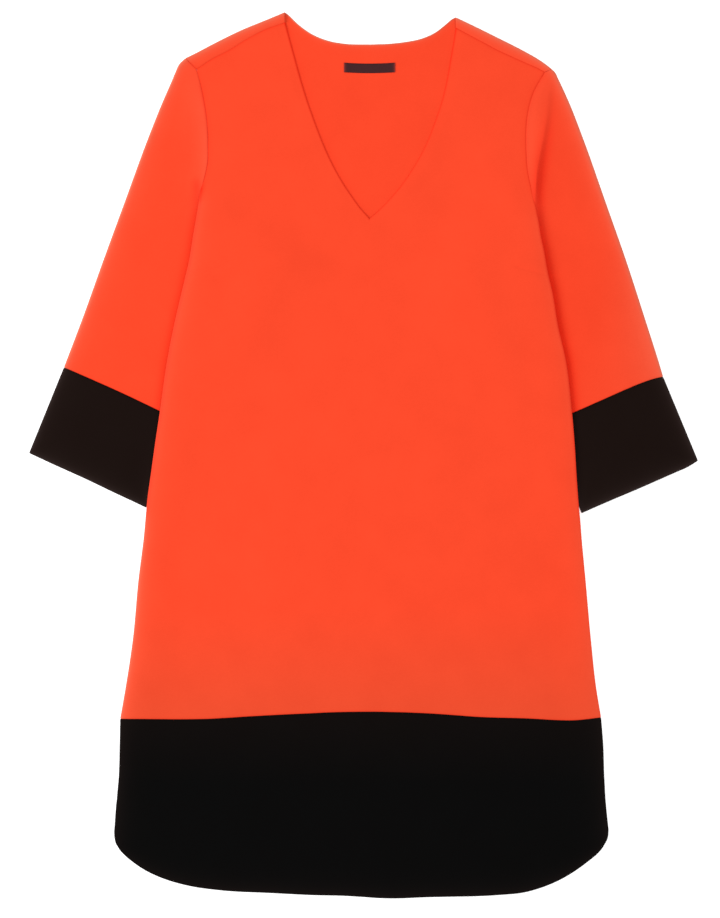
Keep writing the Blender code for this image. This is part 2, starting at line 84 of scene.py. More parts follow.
# Seams and edges
SEAM_OVERLAP = 0.1  # of two pieces that meet at a seam
SEAM_DEPTH = 0.55  # how far a piece's edge turns down into a seam
SEAM_REACH = 1.9
TURNED_DEPTH = 1.0  # how far a free edge rolls under
TURNED_REACH = 1.6
BAND_TURNED_DEPTH = 0.35  # of a sleeve band's open end
PAINT_GONE = 30.0  # distance at which an edge's painted highlight or a seam's painted shade is gone
FAR = 99.0  # a distance from which nothing of an edge or a seam shows
NECKLINE_HIGHLIGHT = 2.8  # the neckline's painted highlight reaches in as much less than another edge's
NECKLINE_STEPS = (0.0, 0.2, 0.45, 0.8, 1.25, 1.9, 3.2, 5.5, 8.5)  # rows next to the neckline
# Painted highlight along the folds and free edges: where it starts, and how far in it reaches
BAND_HIGHLIGHT_START = 7.0  # of a hem band, so far out beyond its edge
EDGE_HIGHLIGHT_REACH = 8.5
EDGE_HIGHLIGHT_START = {"left": 1.0, "right": 6.5}  # of a body's side, so far out beyond its edge
CARRIED_HIGHLIGHT_START = 3.5  # and so much further out where it lies on a sleeve
# how far the painted shade beside a seam reaches
SEAM_SHADE_REACH = 1.2
FINE_STEPS = (0.0, 0.2, 0.45, 0.8, 1.25, 1.9, 2.9)  # rows or columns next to a seam or an edge
SIDE_STEPS = (6.0, 8.0, 10.5, 14.0, 18.0)  # columns next to a folded side
SLEEVE_STEPS = (4.6, 6.4, 9.0, 13.0)  # columns next to a sleeve's fold
SEAM_BEND = 0.5  # of a side edge: with less it is a seam, and with more a fold
CARRIED_RISE = 3.0  # a sleeve carries the body's edge in full where that is so high
VEE_EASE = 1.6  # the V's edge ends over this stretch below its point
ROW_STEP = 4.2
DART_ROW_STEP = 1.0
STEPS_AT_VEE = (-1.4, -0.5, 0.5, 1.1, 1.9, 3.0)  # the rows next to the V's point
HALF_COLUMNS = 48
NECK_COLUMNS = 26
FOLD_STEPS = 10
CORNER_STEPS = 8  # of a side edge's quarter turn
JOINED = 0.01  # places nearer to each other than this are one
SLIVER = 0.002  # an edge shorter than this goes

# The side of the body, row by row: the edge's place, how far in under the body the sleeve reaches,
# how far the edge stands up on the sleeve, and the edge's bend, from 0, a seam, to 1, a folded side
SIDE_COLUMNS = (
    "left_x", "left_y", "right_x", "right_y", "left_tuck", "right_tuck", "left_rise", "right_rise",
    "bend",
)
SIDE_ROWS = {
    "shoulder": (-183, 423.5, 198.5, 420.5, 0, 0, 0, 0, 0),
    "arm_1": (-176, 395, 185, 395, 0, 0, 0.8, 0.5, 0),
    "arm_2": (-172, 370, 179, 369, 0, 0, 1.6, 1, 0),
    "arm_3": (-170.5, 343.5, 178, 340.5, 0, 0, 2.2, 1.9, 0),
    "arm_4": (-171, 320.5, 179.5, 313, 0, 0, 2.7, 3.6, 0),
    "arm_5": (-174.5, 304, 183.5, 292, 0, 0, 3.2, 5.1, 0),
    "arm_end": (-178.5, 291, 187.5, 276, 2, 3, 3.8, 6, 0.45),
    "under_1": (-181.1, 274.5, 191, 258, 11, 13, 4.1, 6.3, 1),
    "under_2": (-184.2, 256, 194, 239.5, 21, 23, 4.2, 6.3, 1),
    "vee": (-187.2, 238.5, 197.5, 223, 34, 35, 4.2, 6.3, 1),
    "under_4": (-189.2, 225.5, 199.5, 211, 50, 49, 4.2, 6.3, 1),
    "underarm": (-190.8, 215.5, 201, 202.5, 69, 68, 4.2, 6.2, 1),
    "bust": (-195.9, 193.5, 206.4, 179.5, 64, 64, 4.2, 6, 1),
    "ribs": (-206.5, 148.5, 212.5, 143, 57, 57, 4.2, 5.7, 1),
    "waist": (-215.1, 105, 221.7, 102.5, 46, 51, 4.1, 4.8, 1),
    "hip_1": (-223, 50, 227.9, 49, 29, 34, 4, 4.2, 1),
    "hip_2": (-228.7, 11.5, 231.1, 10.5, 16.5, 21, 3.9, 4, 1),
    "hip_3": (-233.3, -21.5, 233.3, -25.5, 7.5, 9.5, 3.7, 3.7, 1),
    "cuff_end": (-237, -48.5, 235.5, -55, 0, 0, 3.7, 3.7, 1),
    "below_cuff": (-239, -67.5, 237.5, -73, 0, 0, 1.3, 1.3, 1),
    "skirt_1": (-241, -88, 239.1, -92.5, 0, 0, 0, 0, 1),
    "skirt_2": (-247, -136.5, 243.4, -138.5, 0, 0, 0, 0, 1),
    "skirt_3": (-253.2, -202, 249.2, -203, 0, 0, 0, 0, 1),
    "skirt_4": (-260.6, -251.5, 254.5, -252, 0, 0, 0, 0, 1),
    "band_seam": (-267, -288.5, 260.2, -287, 0, 0, 0, 0, 1),
}
ROW_NAMES = list(SIDE_ROWS)

# The front's V neck: its edge on each side in the rows that it cuts, down to its point
NECK_EDGE = {
    "left": (
        (-85.6, 475), (-76, 438), (-65.4, 400.5), (-54.4, 368), (-41.9, 336),
        (-31.9, 315), (-23.4, 300), (-14.5, 286.5), (-3.7, 271.5), (6.5, 260),
    ),
    "right": (
        (100.5, 469), (95.6, 437), (88.8, 400.5), (78.9, 368), (66, 336),
        (54, 315), (44.1, 300), (33.2, 286.5), (19.3, 271.5), (6.5, 260),
    ),
}
CENTRE_X = 6.5
# Heights at which the rows cross the middle: of the back down to the V's point, then of both
BACK_CENTRE_Y = (433.5, 409.5, 383, 357, 330.5, 311, 294.5, 278, 261.5, 251.5)
CENTRE_Y = (
    260, 240, 223, 198, 152, 108, 52, 12.5, -21.5, -50, -68.5, -89, -135,
    -199, -246, -281,
)
SHOULDER_TIP = 0.95  # the shoulder's fold loses the turn of its underside from here to the neck
SHOULDER_STRIP = 10.0  # width of the strip over the shoulder, for its rows
SHOULDER_STEP = 3.4  # between its rows
NECK_ROLL_EASE = 0.06  # the neckline's roll sets in over this share of its length
NECKLINE_SHARES = (0.7, 0.35, 0.12, 0)  # how far the back's first rows follow the neckline

# Outlines of the shoulders, each from the armhole inwards, and of the neck, from the shoulder to
# the middle of the back
SHOULDER_FOLD = {
    "left": ((-195.3, 435.9), (-183.3, 441.8), (-168, 449.9), (-135, 466.2),
             (-102, 479.8), (-86.5, 486.3)),
    "right": ((206.1, 423.9), (202.5, 426.8), (193.7, 433.2), (177.5, 442.6), (144.5, 459.4),
              (111.5, 475.6), (100.5, 480.7)),
}
SHOULDER_SEAM = {
    "left": ((-183, 423.5), (-168.5, 433.5), (-147.5, 444.5), (-130, 455.5), (-109.5, 466.5),
             (-86, 475)),
    "right": ((198.5, 420.5), (192, 424), (171, 433.5), (145, 445.5), (126.5, 455.5),
              (101, 469)),
}
NECKLINE = {
    "left": ((-86.5, 486.3), (-82.5, 483.3), (-78.1, 478.9), (-73.7, 474.6), (-69.5, 471),
             (-53, 460.3), (-36.5, 454.4), (-20, 451.7), (6.5, 451)),
    "right": ((100.5, 480.7), (97.3, 479.2), (92.9, 475.6), (88.5, 471.8), (78.5, 464.2),
              (62, 457), (46, 453.8), (29.5, 451.9), (6.5, 451)),
}
NECK_X = {side: line[0][0] for side, line in NECKLINE.items()}
# The outer side of each sleeve, from below the shoulder's tip down to its black band
SLEEVE_OUTLINE = {
    "left": ((-202.2, 429.4), (-206.6, 420.1), (-210.3, 411.2), (-220, 389), (-237.4, 345.5),
             (-261.6, 279.5), (-285.6, 214), (-309.3, 148), (-328.8, 96.8)),
    "right": ((209.8, 420.2), (213.1, 413.5), (224.4, 389), (241.4, 345.5), (264.7, 279.5),
              (287.7, 214), (309.1, 148), (323.1, 104), (328.3, 86.6)),
}
# Corners of the black sleeve bands: at the seam and at the open end
CUFF_SEAM = {
    "left": ((-328.8, 96.8), (-202.5, 38.6)),
    "right": ((328.3, 86.6), (201.5, 35.4)),
}
CUFF_END = {
    "left": ((-367, 2.8), (-238.4, -57.1)),
    "right": ((366.5, -5.5), (238.7, -63.2)),
}
# How far a band's seam bows up and its open end down, at shares of its width from the outer side
BOW_SHARES = (0, 0.08, 0.2, 0.32, 0.5, 0.7, 1)
SEAM_BOW = {
    "left": (0, 0.4, 0.8, 1.1, 1.35, 1, 0),
    "right": (0, 1.8, 2.7, 2.5, 1.6, 0.6, 0),
}
END_BOW = {
    "left": (0, 0, -0.1, -0.4, -0.7, -0.3, 0),
    "right": (0, 1.8, 1.7, 1.5, 1.2, 0.5, 0),
}
SLEEVE_TURN = {"left": -25.6, "right": 24.5}  # of a sleeve's grain
SLEEVE_COLUMNS = 62
SEEN_SHARE = 0.42  # of a ring's width at the band, for the columns that hang from the seen armhole
SLEEVE_ROW_STEP = 4.0
CAP_DEPTH = 48.0  # the rows are closer down to here
CAP_ROW_STEP = 1.5
INNER_FOLD_CLEARANCE = 4.0  # a sleeve's hidden fold leaves the body's line so far above the band
ARMHOLE_PLACES = 80  # the number of places that make this curve, and each of the next three
INNER_FOLD_PLACES = 40
SLEEVE_CURVE_PLACES = 400
CUFF_CURVE_PLACES = 200
RING_PUCKER_STEP = 3.1  # length of a ring's column, for the unevenness at its seams
MOUTH_HEIGHT = 2.2  # the band's upper layer stands off by this at its open end
MOUTH_START = 20.0  # it starts to so far from the seam
MOUTH_REACH = 55.0  # and does in full so far in from its folds
INNER_PULL = 4  # the more, the less of a ring goes with its inner fold
BLOOM_REACH = {"left": 1, "right": 4.5}  # the outer fold's painted highlight is as much wider near the band
BLOOM_START = 0.5  # share of the sleeve's length from which on it widens
BLOOM_HIGHLIGHT_START = 3.0  # and it sets in so far out beyond the fold

# The hem bands: the seam that joins them, their sides, and the hem with its rounded corners
BAND_SEAM_DIP = (
    (-267, -288.5), (-168.5, -288.5), (-119, -285.5), (-70, -283), (-20.5, -281),
    (29, -281), (78, -283), (127.5, -286.5), (176.5, -288), (231.5, -290),
    (260.2, -287),
)
BAND_SIDE = {
    "left": ((-267, -288.5), (-267.6, -317), (-268.5, -350), (-271.5, -383),
             (-273.7, -412.5)),
    "right": ((260.2, -287), (262.6, -317), (263.7, -350), (265.7, -383),
              (268.5, -410.5)),
}
HEM = (
    (-273.7, -412.5), (-273.3, -419), (-271.8, -425.5), (-266.3, -433.9), (-254.8, -444.5),
    (-239.2, -455), (-217.7, -464.6), (-192.5, -471.6), (-155.5, -476.8), (-103, -479.6),
    (-48, -482.2), (-25.5, -482.6), (-3.6, -483.8), (18, -485.3), (40, -485.5),
    (62, -484.5), (94.5, -483.7), (127, -483), (150, -481.7), (176.5, -478.9),
    (193.7, -474.1), (210.4, -467.5), (227, -458.5), (243.5, -447), (260.1, -432.4),
    (266, -423.4), (268, -417.2), (268.5, -410.5),
)
BAND_DEPTH = 200.0
VENT_START = 0.62  # share of the band's depth where the side seam ends
VENT_END = 0.78


def smooth(share):
    """Eased step from 0 to 1."""
    share = np.clip(share, 0.0, 1.0)
    return share * share * (3 - 2 * share)


def lengths(points):
    """Distance along a line of points, up to each of them."""
    steps = np.linalg.norm(np.diff(points, axis=0), axis=1)
    return np.concatenate([[0.0], np.cumsum(steps)])


def through(knots, values, places):
    """A smooth curve through values at rising knots, read at places."""
    knots, values = np.asarray(knots, float), np.asarray(values, float)
    slopes = np.gradient(values, knots, axis=0)
    i = np.clip(np.searchsorted(knots, places, side="right") - 1, 0, len(knots) - 2)
    span = knots[i + 1] - knots[i]
    t = (places - knots[i]) / span
    if values.ndim > 1:
        span, t = span[..., None], t[..., None]
    a, b, p, q = values[i], values[i + 1], slopes[i] * span, slopes[i + 1] * span
    return a + t * (p + t * (3 * (b - a) - 2 * p - q + t * (2 * (a - b) + p + q)))


class Line:
    """A line through points, smooth or straight between them, read by the share of its length."""

    def __init__(self, points, bends=True):
        points = np.array(points, float)
        if bends:
            knots = lengths(points)
            points = through(knots, points, np.linspace(0.0, knots[-1], 16 * len(points)))
        self.points = points
        self.length = lengths(points)[-1]
        self.shares = lengths(points) / self.length

    def at(self, share):
        return np.stack([np.interp(share, self.shares, self.points[:, k]) for k in (0, 1)], -1)

    def y_at(self, x):
        return np.interp(x, self.points[:, 0], self.points[:, 1])

    def nearest(self, x, y):
        """Distance of places from the line, positive on its left, and the share where each is."""
        start, step = self.points[:-1], np.diff(self.points, axis=0)
        square = (step ** 2).sum(1)
        best = np.full(np.shape(x), np.inf)
        signed, where = np.zeros(np.shape(x)), np.zeros(np.shape(x))
        for (px, py), (dx, dy), size, share, gain in zip(
            start, step, square, self.shares, np.diff(self.shares)
        ):
            t = np.clip(((x - px) * dx + (y - py) * dy) / size, 0.0, 1.0)
            away_x, away_y = x - px - t * dx, y - py - t * dy
            away = np.hypot(away_x, away_y)
            closer = away < best
            best = np.where(closer, away, best)
            signed = np.where(closer, np.sign(dx * away_y - dy * away_x) * away, signed)
            where = np.where(closer, share + t * gain, where)
        return signed, where


def ladder(start, *stops):
    """Places from start on: each stop gives the place reached and the step on the way to it."""
    places = [np.array([start])]
    for end, step in stops:
        count = max(1, round((end - start) / step))
        places.append(np.linspace(start, end, count + 1)[1:])
        start = end
    return np.concatenate(places)


def with_fine_ends(places, start=True, end=True):
    """The places with the fine steps of a seam or an edge added at their ends."""
    fine, first, last = np.array(FINE_STEPS), places[0], places[-1]
    room = fine[-1] + 1
    if start:
        places = np.concatenate([first + fine, places[places > first + room]])
    if end:
        places = np.concatenate([places[places < last - room], last - fine])
    return np.unique(places)


def curl(distance, depth, reach):
    """How far the cloth turns down at a distance from its edge."""
    return depth * (1 - np.clip(distance / reach, 0.0, 1.0)) ** 2


class Half:
    """One half of the body, read at stations down its side."""

    def __init__(self, side):
        other = "right" if side == "left" else "left"
        self.inwards = 1 if side == "left" else -1
        column = dict(zip(SIDE_COLUMNS, np.array(list(SIDE_ROWS.values()), float).T))
        self.places, others = (
            np.stack([column[name + "_x"], column[name + "_y"]], -1) for name in (side, other)
        )
        self.stations = (lengths(self.places) + lengths(others)) / 2
        self.tucks, self.rises = column[side + "_tuck"], column[side + "_rise"]
        self.bends = column["bend"]
        self.neck_edge = np.array(NECK_EDGE[side])
        self.fold, self.seam = Line(SHOULDER_FOLD[side]), Line(SHOULDER_SEAM[side])
        self.neckline = Line(NECKLINE[side])

    def station(self, name):
        return self.stations[ROW_NAMES.index(name)]

    def edge(self, station):
        return through(self.stations, self.places, station)

    def tuck(self, station):
        return np.maximum(through(self.stations, self.tucks, station), 0.0)

    def rise(self, station):
        return np.maximum(through(self.stations, self.rises, station), 0.0)

    def bend(self, station):
        return np.clip(through(self.stations, self.bends, station), 0.0, 1.0)

    def under(self, station):
        """The sleeve's edge in under the body."""
        return self.edge(station) + np.column_stack(
            [self.inwards * self.tuck(station), np.zeros(len(station))]
        )

    def inner(self, station):
        """The V's edge down to its point, and the middle below it."""
        count = len(self.neck_edge)
        vee = self.stations[count - 1]
        above = through(self.stations[:count], self.neck_edge, np.minimum(station, vee))
        below_y = through(self.stations[count - 1:], CENTRE_Y, np.maximum(station, vee))
        below = np.stack([np.full(np.shape(station), CENTRE_X), below_y], -1)
        return np.where((station <= vee)[..., None], above, below)

    def lifted(self, station, distance, ramp):
        """How far the body stands above the surface on the sleeve and on the armhole's seams."""
        level = np.maximum(self.tuck(station) + RAMP_START, LEAST_LEVEL)
        return self.rise(station) * (1 - smooth((distance - level) / ramp))


HALVES = {side: Half(side) for side in ("left", "right")}
VEE = HALVES["left"].station("vee")
BAND_SEAM_STATION = HALVES["left"].station("band_seam")

# Soft relief of the top layer. A swell has its middle, its reach along and across, its turn and
# its height.
SWELL_COLUMNS = ("x", "y", "along", "across", "turn_deg", "height")
BODY_SWELLS = {
    "left_bust": (-108, 196, 62, 52, 20, 2.4),
    "right_bust": (122, 193, 62, 52, -20, 2.4),
    "neck_point": (6.5, 246, 22, 16, 90, 0.7),
    "chest": (10, 150, 70, 120, 90, -0.5),
    "waist_left": (-120, 20, 110, 60, 80, 0.9),
    "waist_right": (110, -20, 120, 55, 100, 0.9),
    "skirt_left": (-90, -170, 130, 48, 96, 0.9),
    "skirt_middle": (30, -190, 140, 44, 84, 0.7),
    "skirt_right": (165, -180, 120, 50, 82, 0.9),
    "band_left": (-150, -400, 90, 60, 92, 0.6),
    "band_right": (120, -410, 90, 70, 88, 0.6),
}
# A fold is a line of points with the height and the reach on its left and on its right at each
CAP_CREASE = (
    (205.5, 430, 0, 5, 9), (203.5, 410, 0.6, 4.6, 12), (201.5, 395, 1.3, 4.4, 14),
    (199.7, 373, 2, 4.2, 15), (196.5, 351.5, 2.7, 4, 15), (192.4, 329.5, 3.8, 3.6, 14),
    (188.9, 307.5, 5.2, 3.4, 12), (187.6, 292, 5.5, 3, 10), (186.8, 276, 4.2, 3, 9),
    (188.5, 260, 0, 4, 9),
)
SMALL_CREASE = ((-185, 310), (-183, 302), (-180.6, 291))  # where the left one sets in
SLEEVE_FOLDS = {
    "left": {
        "elbow": (
            (-300, 205, 0, 16, 20), (-265, 222, 0.7, 18, 22),
            (-230, 232, 0.7, 16, 24), (-200, 236, 0.1, 14, 20),
        ),
        "forearm": (
            (-318, 120, 0, 14, 18), (-285, 128, 0.6, 16, 20),
            (-245, 122, 0.4, 16, 20), (-222, 118, 0, 14, 16),
        ),
    },
    "right": {
        "cap_crease": CAP_CREASE,
        "elbow": (
            (296, 196, 0, 20, 16), (264, 205, 0.8, 22, 18),
            (236, 204, 0.6, 22, 18), (212, 196, 0, 18, 16),
        ),
        "forearm": (
            (312, 118, 0, 16, 14), (280, 116, 0.5, 18, 16),
            (248, 104, 0.4, 18, 16), (226, 96, 0, 16, 14),
        ),
    },
}
# A sleeve's painted shade beside the body: how much far out and close by, and how far out
SLEEVE_SHADE = {"left": (0.04, 0.40, 18), "right": (0.10, 0.74, 38)}
CLOSE_SHADE_REACH = {"left": 6.3, "right": 7.8}
SHADE_START = {"left": 0.07, "right": 0.38}  # share of its line over which it sets in
UPPER_SHADE = {"left": 0.6, "right": 0.0}  # share by which it is deeper close by at the top
UPPER_SHADE_END = 0.4  # share of its line where that ends
SHADE_EASE = 2.5  # it is far out in full from here on
EDGE_SHADE = 0.78  # painted shade of the body's edge where it lies on a sleeve
EDGE_SHADE_BEND = {"left": 0.6, "right": 1.0}  # the bend of the edge from which on it is whole
EDGE_SHADE_START = {"left": 0.7, "right": 0.0}  # it is even up to here
EDGE_SHADE_REACH = {"left": 2.4, "right": 1.4}
# Painted shadow along the V's edge, and on the back's inside beside the V
VEE_SHADE = {"left": (0.72, 0.46), "right": (0.72, 0.36)}  # of the V's edge, at its top and lower
VEE_SHADE_FALL = 110.0  # from the one to the other over this stretch
VEE_SHADE_REACH = 1.3
BACK_SHADE = {"left": 0.30, "right": 0.05}  # of the back's inside beside the V
BACK_SHADE_REACH = 4.5
BACK_SHADE_EASE = 12.0
# Distances for the painted highlight strip beside each armhole: its least, its slopes, its middle
STRIP_HIGHLIGHT = {"left": 6, "right": 9.5}
STRIP_SLOPES = (0.36, 0.10)
STRIP_Y = 335.0
ARMHOLE_SHADE = {"left": 0.75, "right": 0.0}  # painted shade on a sleeve beside its armhole's seam
ARMHOLE_SHADE_REACH = 3.0
ARMHOLE_SHADE_TOP = 415.0  # y from which on downwards it sets in
ARMHOLE_SHADE_FALL = 25.0
# The bust darts, from the side edge to the point, with the depth and the reach of their grooves
DARTS = {
    "left": ((-194.5, 200.2), (-170, 203.8), (-146.5, 208.5)),
    "right": ((203.5, 196.5), (179, 203.3), (162.5, 208.8)),
}
DART_DEPTH = 0.4
DART_REACH = 1.5
DART_EASE = 0.12  # share of its length over which it ends
DART_ROWS_ABOVE = 10.0  # its fine rows start so far above the underarm
DART_ROWS_BELOW = 8.0  # and end so far below the bust
DART_PUFF = 0.4  # height of the cloth beside its point
DART_PUFF_PLACE = 7.0  # its distance from the dart
DART_PUFF_REACH = 6.0
DART_PUFF_START = 0.3  # share of the dart's length over which it sets in
# The unevenness of the cloth next to a seam: the length, the height and the seeds of each wave
PUCKER_WAVES = ((4.6, 1, 1), (7.9, 0.7, 2), (3.4, 0.5, 0))
PUCKER_HEIGHT = 0.07
PUCKER_REACH = 6.0
# A small crease on the inside of the back, by its left shoulder
BACK_CREASE = ((-66.5, 404), (-58, 408), (-50, 411.6))
BACK_CREASE_HEIGHT = 0.5
BACK_CREASE_REACH = 3.0
BACK_CREASE_EASE = 0.4  # share of its length over which it ends


def swells(x, y, table):
    total = np.zeros(np.shape(x))
    for row in table.values():
        s = dict(zip(SWELL_COLUMNS, row))
        turn = math.radians(s["turn_deg"])
        dx, dy = x - s["x"], y - s["y"]
        u = (dx * math.cos(turn) + dy * math.sin(turn)) / s["along"]
        v = (dy * math.cos(turn) - dx * math.sin(turn)) / s["across"]
        total += s["height"] * np.exp(-u * u - v * v)
    return total


def folds(x, y, table):
    """Ridges along lines, each steeper or softer on its two sides."""
    total = np.zeros(np.shape(x))
    for rows in table.values():
        rows = np.array(rows, float)
        line = Line(rows[:, :2])
        knots = lengths(rows[:, :2])
        away, share = line.nearest(x, y)
        height, left, right = (
            through(knots / knots[-1], rows[:, k], share) for k in (2, 3, 4)
        )
        total += height * np.exp(-(away / np.where(away > 0, left, right)) ** 2)
    return total


def dart_relief(x, y):
    """The sewn line of each bust dart, with the cloth a little full beside its point."""
    total = np.zeros(np.shape(x))
    for points in DARTS.values():
        away, share = Line(points).nearest(x, y)
        ends = smooth((1 - share) / DART_EASE)
        beside = (np.abs(away) - DART_PUFF_PLACE) / DART_PUFF_REACH
        total -= DART_DEPTH * ends * np.exp(-(away / DART_REACH) ** 2)
        total += DART_PUFF * smooth(share / DART_PUFF_START) * ends * np.exp(-beside ** 2)
    return total


def pucker(distance, along, seed):
    """Slight unevenness of the cloth next to a seam."""
    wave = sum(
        height * np.sin(along / length + seeds * seed) for length, height, seeds in PUCKER_WAVES
    )
    return PUCKER_HEIGHT * wave * np.exp(-np.abs(distance) / PUCKER_REACH)


def body_relief(x, y):
    return swells(x, y, BODY_SWELLS) + dart_relief(x, y)


def edge_columns(bend):
    """The columns of a side edge, for a bend from 0, a seam, to 1, a folded side.

    Gives their distances in from the edge, their drops and the upward part of their normals.
    """
    turns = np.linspace(0.0, math.pi / 2, CORNER_STEPS + 1)
    bent_distance = np.concatenate([
        [SIDE_TUCK, SIDE_TUCK * 0.15], CORNER_REACH * (1 - np.cos(turns)),
    ])
    bent_drop = np.concatenate([
        [CORNER_HEIGHT + EDGE_STRAIGHT, CORNER_HEIGHT + EDGE_STRAIGHT * 0.5],
        CORNER_HEIGHT * (1 - np.sin(turns)),
    ])
    out, up = np.cos(turns) / CORNER_REACH, np.sin(turns) / CORNER_HEIGHT
    bent_up = np.concatenate([[0.0, 0.0], up / np.hypot(out, up)])
    flat_distance = np.linspace(0.0, 1.0, len(bent_distance)) ** 1.3 * SEAM_REACH
    flat_drop = curl(flat_distance, SEAM_DEPTH, SEAM_REACH)
    bend = bend[:, None]
    return (
        flat_distance + (bent_distance - flat_distance) * bend,
        flat_drop + (bent_drop - flat_drop) * bend,
        1 + (bent_up - 1) * bend,
    )


def half_columns(width, bend, inner_steps):
    """The columns of half a panel, from the side edge to its inner edge."""
    distance, drop, up = edge_columns(bend)
    rows = len(width)
    near = np.tile(SIDE_STEPS, (rows, 1))
    last = np.array(inner_steps[::-1])
    even = np.linspace(0.0, 1.0, HALF_COLUMNS + 1)[1:-1]
    stretch = (width - last[0] - SIDE_STEPS[-1])[:, None]
    middle = SIDE_STEPS[-1] + stretch * even
    inner = width[:, None] - last
    rest = np.concatenate([near, middle, inner], axis=1)
    return (
        np.concatenate([distance, rest], axis=1),
        np.concatenate([drop, np.zeros(rest.shape)], axis=1),
        np.concatenate([up, np.ones(rest.shape)], axis=1),
    )


def puff(distance, bend):
    """How far the cloth beside a folded side stands above where it lies flat."""
    height = FOLD_HEIGHT - FRONT_TOP + ROLL_HEIGHT * smooth(distance / ROLL_CREST)
    return bend * height * (1 - smooth((distance - ROLL_CREST) / ROLL_FALL))


def grid(points, edge, seam, shade=0.0, turn_deg=0.0):
    """A grid of places with what the finish needs to know of each of them.

    edge is the distance from the nearest fold or free edge, which sets its painted highlight, seam
    that from the nearest seam, which sets its painted shade, and shade how much more painted shade
    darkens it. The grain runs along the piece, which lies turned by turn_deg.
    """
    turn = math.radians(turn_deg)
    x, y = points[..., 0], points[..., 1]
    along, across = x * math.cos(turn) + y * math.sin(turn), y * math.cos(turn) - x * math.sin(turn)
    told = {"edge": edge, "seam": seam, "shade": shade}
    return {
        "points": points, "grain": np.stack([along, across], -1),
        **{name: np.broadcast_to(values, x.shape) for name, values in told.items()},
    }


def left_to_right(side, parts):
    """The grid of half a panel, whose columns run from the side edge to the middle."""
    return grid(*(part if side == "left" else part[:, ::-1] for part in parts))


def front_stations():
    half = HALVES["left"]
    dart_top = half.station("underarm") - DART_ROWS_ABOVE
    dart_end = half.station("bust") + DART_ROWS_BELOW
    places = ladder(
        0.0, (VEE, ROW_STEP), (dart_top, ROW_STEP), (dart_end, DART_ROW_STEP),
        (BAND_SEAM_STATION, ROW_STEP),
    )
    return np.unique(np.concatenate([with_fine_ends(places), VEE + np.array(STEPS_AT_VEE)]))


def eased(distance, reach):
    """1 at the first row of a panel, easing to 0 at the next row of the table."""
    return 1 - smooth(distance / reach)


def meet_band(half, s, x, y):
    """The rows' y, eased to the hem band's seam in the last of them."""
    last = eased(BAND_SEAM_STATION - s, BAND_SEAM_STATION - half.stations[-2])
    return y + last * (Line(BAND_SEAM_DIP).y_at(x[-1]) - y[-1])


def front_half(side, stations):
    """The grid of one half of the front, from the side edge to the V's edge or the middle."""
    half = HALVES[side]
    edge, inner, s = half.edge(stations), half.inner(stations), stations[:, None]
    width, bend = np.abs(inner[:, 0] - edge[:, 0]), half.bend(stations)
    distance, drop, up = half_columns(width, bend, FINE_STEPS)
    share, bend = distance / width[:, None], bend[:, None]

    from_bottom = BAND_SEAM_STATION - s
    groove = curl(np.minimum(s, from_bottom), SEAM_DEPTH, SEAM_REACH)
    x = edge[:, :1] + half.inwards * (distance + groove * np.sqrt(1 - up ** 2))
    y = edge[:, 1:] + (inner[:, 1:] - edge[:, 1:]) * share
    seam = half.seam.at(share[0])
    first = eased(s, half.stations[1])
    x = x + first * (seam[:, 0] - (edge[0, 0] + half.inwards * distance[0]))
    y = y + first * (seam[:, 1] - y[0]) + first * SEAM_OVERLAP
    y = meet_band(half, s, x, y)

    in_neck = 1 - smooth((s - VEE) / VEE_EASE)
    from_inner = width[:, None] - distance
    rolled = curl(from_inner, TURNED_DEPTH, TURNED_REACH) * in_neck
    z = FRONT_TOP + puff(distance, bend) + half.lifted(s, distance, FRONT_RAMP)
    z = z + body_relief(x, y) - np.maximum(drop + groove * up, rolled)
    from_neck = np.hypot(from_inner, np.maximum(s - VEE, 0.0))
    fallen = (1 - smooth(from_neck / NECK_FALL_REACH)) * smooth(s / NECK_FALL_REACH)
    z = z - NECK_FALL * fallen + np.where(bend < SEAM_BEND, pucker(distance, s, 1.0), 0)
    z = z + pucker(from_bottom, x, 2.0) + pucker(s, x, 4.0)

    # where the side's painted highlight starts: further out where a sleeve carries the edge
    carried = smooth(half.rise(s) / CARRIED_RISE)
    start = EDGE_HIGHLIGHT_START[side] + CARRIED_HIGHLIGHT_START * carried * bend
    to_edge = distance + start + PAINT_GONE * (1 - bend)
    armhole = np.where(bend < SEAM_BEND, distance, np.inf)
    to_seam = np.minimum(armhole, np.minimum(s, from_bottom))
    # painted shade on the body's edge where it lies on a sleeve
    inwards = np.maximum(distance - EDGE_SHADE_START[side], 0.0) / EDGE_SHADE_REACH[side]
    shade = EDGE_SHADE * carried * smooth(bend / EDGE_SHADE_BEND[side]) * np.exp(-inwards ** 2)
    # painted shadow along the V's edge
    top, lower = VEE_SHADE[side]
    vee_shade = top + (lower - top) * smooth(s / VEE_SHADE_FALL)
    shade = shade + vee_shade * in_neck * np.exp(-(from_inner / VEE_SHADE_REACH) ** 2)
    return np.stack([x, y, z], -1), to_edge, to_seam, shade


def front_panel():
    stations = front_stations()
    return [left_to_right(side, front_half(side, stations)) for side in HALVES]


